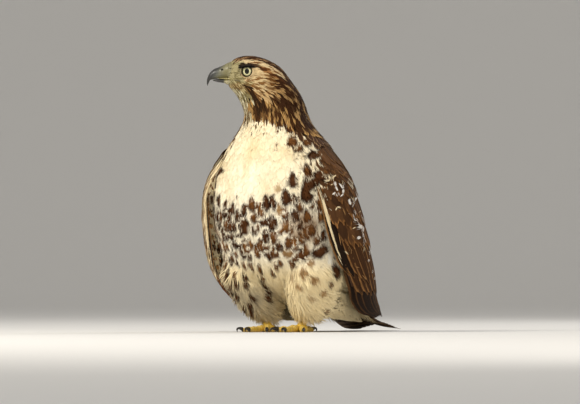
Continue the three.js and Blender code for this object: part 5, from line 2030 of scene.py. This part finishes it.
def add_toe(node, foot, ahead, length, size, material):
    """A toe with pads under it and plates over it, pale on their backs and dusky in the grooves."""
    aside = np.array([-ahead[1], ahead[0], 0])
    turn = ring_turns(24)
    top = np.clip(np.cos(turn), 0, 1)
    rings, colours = [], []
    for k in range(TOE_STEPS + 1):
        t = k / TOE_STEPS
        pad = 0.9 + 0.1 * math.cos(t * 6 * math.pi)
        half = size / 2 * pad * (1 - 0.2 * t)
        high = size * (0.95 - 0.3 * t) * (1 - 0.12 * math.cos(t * 4 * math.pi))
        plate = abs(math.sin(t * math.pi * TOE_PLATES)) ** 0.5
        lift = high * (0.46 + 0.54 * np.cos(turn)) + 0.45 * plate * top
        out = TOE_START + (length - TOE_START) * t
        width = half * np.sin(turn) * np.where(lift > 0, 1, 0.7)
        rings.append(foot + ahead * out + aside * width[:, None] + UP * np.maximum(lift, 0)[:, None])
        shade = TOE_DUSK + (TOE_YELLOW - TOE_DUSK) * plate
        colours.append(shade + (TOE_PALE - shade) * (0.4 * top * plate)[:, None])
    paint = {"base": np.concatenate(colours + [[TOE_YELLOW], [TOE_YELLOW]])}
    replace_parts(loft(f"{node}_skin", rings, material, "leg", paint=paint), node)


def add_claw(node, foot, ahead, length, size, claw, material):
    """A claw that arches forward from the toe and down to the floor."""
    aside = np.array([-ahead[1], ahead[0], 0])
    turn = ring_turns(16)
    rings = []
    for k in range(CLAW_STEPS + 1):
        t = k / CLAW_STEPS
        bend = math.radians(118 * t)
        out = length + 0.1 + claw / 2.06 * math.sin(bend)
        high = 3.5 + 1.6 * math.sin(min(bend * 1.6, math.pi)) - 3.3 * t**2.4
        thick = size * 0.3 * (1 - t) + 0.3 * t
        lean = min(bend * 0.9, math.pi / 2)
        upright = thick * 1.15 * np.cos(turn)
        rings.append(
            foot + ahead * (out + upright * math.sin(lean))[:, None]
            + aside * (thick * 0.85 * np.sin(turn))[:, None]
            + UP * np.maximum(high + upright * math.cos(lean), CLAW_CLEAR)[:, None]
        )
    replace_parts(loft(f"{node}_horn", rings, material, "claw"), node)


def add_feet():
    """Shanks and feet, with their toes flat on the floor."""
    scaly = painted_material("scaly_skin", 0.45, 0.1)
    horn = claw_material()
    for name, side in SIDES:
        foot = np.array([side * FOOT[0], FOOT[1], 0])
        ball = [(foot[0], foot[1], z, radius, radius) for z, radius in BALL_RINGS]
        add_leg_skin(f"ball_{name}", ball, TOE_YELLOW, scaly)
        shank = []
        for k, (x, y, z, wide, deep) in enumerate(fine_rows(SHANK_RINGS, 26)):
            ridge = 1.04 if k % 3 == 0 else 1
            shank.append((side * x, y, z, wide * ridge, deep * ridge))
        add_leg_skin(f"shank_{name}", shank, TOE_YELLOW * 0.9, scaly)
        for toe, angle, length, size, claw in TOES:
            turn = math.radians(angle)
            ahead = np.array([math.sin(turn * side), -math.cos(turn), 0])
            add_toe(f"toe_{toe}_{name}", foot, ahead, length, size, scaly)
            add_claw(f"claw_{toe}_{name}", foot, ahead, length, size, claw, horn)


# Stage, lights and camera

CAMERA_AWAY = 7.0
CAMERA_HEIGHT = 0.06
PICTURE = (580, 404)
MM_PER_PIXEL = 1.3
BIRD_PIXEL = (282, 332)  # the middle between the feet, on the floor
FLOOR_COLOUR = (0.74, 0.73, 0.71, 1)
WORLD_COLOUR = (0.88, 0.86, 0.83, 1)
WORLD_POWER = 0.62


def set_stage():
    """A pale floor that curves up into a pale wall all round."""
    n = Nodes("floor")
    n.shader.inputs["Base Color"].default_value = FLOOR_COLOUR
    n.shader.inputs["Roughness"].default_value = 0.9
    bend = np.linspace(0, np.pi / 2, 14)
    radius = np.concatenate([[0.05, 2.0, 5.0], 8.0 + 3.5 * np.sin(bend), [11.5]])
    height = np.concatenate([[0, 0, 0], 3.5 - 3.5 * np.cos(bend), [7.0]])
    around = 96
    turn = ring_turns(around)
    rings = [[(r * math.cos(a), r * math.sin(a), z) for a in turn] for r, z in zip(radius, height)]
    points = np.array(rings).reshape(-1, 3)
    quads = tube_faces(len(radius), around, closed=False)[0]
    mesh = bpy.data.meshes.new("floor")
    mesh.from_pydata(points.tolist(), [], quads.tolist() + [list(range(around))[::-1]])
    mesh.materials.append(n.material)
    mesh.polygons.foreach_set("use_smooth", [True] * len(mesh.polygons))
    floor = bpy.data.objects.new("floor", mesh)
    bpy.context.collection.objects.link(floor)
    world = bpy.data.worlds.new("studio")
    world.use_nodes = True
    background = world.node_tree.nodes["Background"]
    background.inputs["Color"].default_value = WORLD_COLOUR
    background.inputs["Strength"].default_value = WORLD_POWER
    bpy.context.scene.world = world


def add_light(name, place, target, size, power, colour):
    """A square lamp that faces a place; places are in metres."""
    light = bpy.data.lights.new(name, "AREA")
    light.size = size
    light.energy = power
    light.color = colour
    lamp = bpy.data.objects.new(name, light)
    lamp.location = place
    lamp.rotation_euler = (Vector(target) - Vector(place)).to_track_quat("-Z", "Y").to_euler()
    bpy.context.collection.objects.link(lamp)


def set_lights():
    """Soft sun from the front left, two fills, and a lamp behind the camera that the eye mirrors."""
    chest = (SHIFT + [0, 0, 180]) * MM
    add_light("key", (-0.9, -2.2, 1.9), chest, 0.8, 60, (1, 0.95, 0.86))
    add_light("fill", (2.2, -1.6, 1.0), chest, 1.6, 16, (1, 0.95, 0.88))
    add_light("rim", (0.8, 2.0, 1.6), chest, 1.0, 20, (1, 0.98, 0.95))
    add_light("eye light", (1.6, -6.7, 3.1), chest, 0.9, 38, (1, 0.98, 0.94))


def set_camera():
    """The photograph's view: its pixels are a fixed size on the bird, and the lens looks up a little."""
    right = Vector((math.cos(VIEW_TURN), math.sin(VIEW_TURN), 0))
    back = Vector((math.sin(VIEW_TURN), -math.cos(VIEW_TURN), 0))
    off = (PICTURE[0] / 2 - BIRD_PIXEL[0]) * MM_PER_PIXEL * MM
    high = (BIRD_PIXEL[1] - PICTURE[1] / 2) * MM_PER_PIXEL * MM
    target = Vector(SHIFT * MM) + right * off + Vector((0, 0, high))
    camera = bpy.data.objects.new("camera", bpy.data.cameras.new("camera"))
    bpy.context.collection.objects.link(camera)
    away = math.sqrt(CAMERA_AWAY**2 - (high - CAMERA_HEIGHT) ** 2)
    camera.location = target + back * away + Vector((0, 0, CAMERA_HEIGHT - high))
    camera.rotation_euler = (target - camera.location).to_track_quat("-Z", "Y").to_euler()
    width = PICTURE[0] * MM_PER_PIXEL * MM
    camera.data.sensor_width = 36
    camera.data.lens = 36 * CAMERA_AWAY / width
    bpy.context.scene.camera = camera
    bpy.context.scene.view_settings.view_transform = "Standard"


# Coat


def coat_roots():
    """Roots over the whole body, without those that the wings hide."""
    spots = scatter(BODY, feather_gap, lambda p: (p[:, 2] > 8) & ~near_eye(p))
    places, normals = BODY.nearest(spots)
    return places[~hidden_by_wing(places, normals)]


def coat_regions(roots):
    """The part of the coat that each root belongs to."""
    z = roots[:, 2]
    front = np.abs(body_angle(roots)) < mantle_limit(roots) + 3
    soft = (z < 86) | (is_thigh(roots) > 0.5)
    face = (z > 312) & (head_local(roots)[0] > -6)
    region = np.where(front, "breast", "back")
    region = np.where(front & (z < 186), "belly", region)
    region = np.where(soft, "lower", region)
    region = np.where(z > 268, "nape", region)
    return np.where(face, "face", region)


def zone(low, high, turn):
    """A test for points between two heights and within some degrees of the breast."""
    return lambda p: (p[:, 2] > low) & (p[:, 2] < high) & (np.abs(body_angle(p)) < turn)


def on_breast(p):
    """True for points of the breast, in front of the mantle and below the hood."""
    return (p[:, 2] > 180) & (p[:, 2] < 276) & (np.abs(body_angle(p)) < mantle_limit(p)) & ~hooded(p)


def on_vent(p):
    """True for points of the rear under the tail."""
    return (p[:, 2] > 12) & (p[:, 2] < 98) & (p[:, 1] > 40) & (p[:, 1] < 165) & (np.abs(p[:, 0]) < 48)


def add_coat():
    """Small feathers over the whole body, and tufts of barbs over the soft parts."""
    roots = coat_roots()
    region = coat_regions(roots)
    face, nape, breast, belly, back, lower = (
        roots[region == name] for name in ("face", "nape", "breast", "belly", "back", "lower")
    )
    fine = dict(rows=5, cols=2, fringe=0.08, thick=0.1)
    under = dict(rows=6, cols=2, fringe=0.05, thick=0.05, slope=0.1, fine_colour=True)
    lay("coat_face", face, "plumage_brown", 5.0, 0.42, **fine)
    lay("coat_nape", nape, "plumage_brown", 5.0, 0.4, **fine)
    lay("coat_breast", breast, "plumage_cream", 3.0, 0.8, **under)
    lay("coat_belly", belly, "plumage_cream", 2.2, 0.7, **under)
    lay("coat_back", back, "plumage_brown", 3.0, 0.72, rows=10, cols=6, fringe=0.07, scatter_turn=0.08,
        rise=0.4, camber=0.08)
    lay("coat_lower", lower, "plumage_cream", 2.8, 0.75, surface=WHOLE, **under)
    lay_tufts("barbs_breast", on_breast, 4.6, 9, 14, 0.55, fan=0.22, lift=(-1.0, 0.5), loose=0.06)
    lay_tufts("barbs_belly", zone(96, 184, 106), 5.2, 11, 15, 0.45, fan=0.75, lift=(-1.6, 1.1))
    lay_tufts("barbs_thigh", zone(16, 98, 128), 6.0, 11, 24, 0.6, fan=0.8, lift=(-1.5, 1.4), loose=0.9,
              stand=0.8)
    lay_tufts("barbs_cuffs", zone(15, 50, 135), 6.5, 10, 30, 0.6, fan=0.9, lift=(-1.2, 1.0), loose=1.0,
              surface=WHOLE, path=hang)
    lay_tufts("barbs_overhang", zone(68, 92, 70), 6.0, 10, 24, 0.5, fan=0.8, lift=(-1.0, 0.8), loose=0.8,
              surface=WHOLE, path=hang)
    lay_tufts("barbs_vent", on_vent, 7.5, 10, 40, 0.75, fan=0.7, lift=(-1.0, 2.0), loose=1.0, stand=2.0,
              surface=REAR, roots_on=REAR, colour_at=rump_colour)
    lay_tufts("barbs_skirt", lambda p: p[:, 2] > 0, 7.0, 10, 46, 0.75, fan=0.6, loose=1.6, stand=1.5,
              surface=SKIRT, roots_on=SKIRT)
    lay_tufts("barbs_shoulder", shoulder_edge, 4.4, 10, 14, 0.5, lift=(0.6, 1.8), loose=0.3, surface=WHOLE,
              roots_on=WHOLE, raised=lambda p: 1.0 * (p[:, 0] > 56))


set_stage()
set_lights()
set_camera()
add_skin()
add_coat()
for wing_name, wing_shape in WINGS.items():
    add_wing(wing_name, wing_shape)
add_flecks()
add_tail()
add_rump()
add_tail_coverts()
add_bill()
add_eyes()
add_feet()
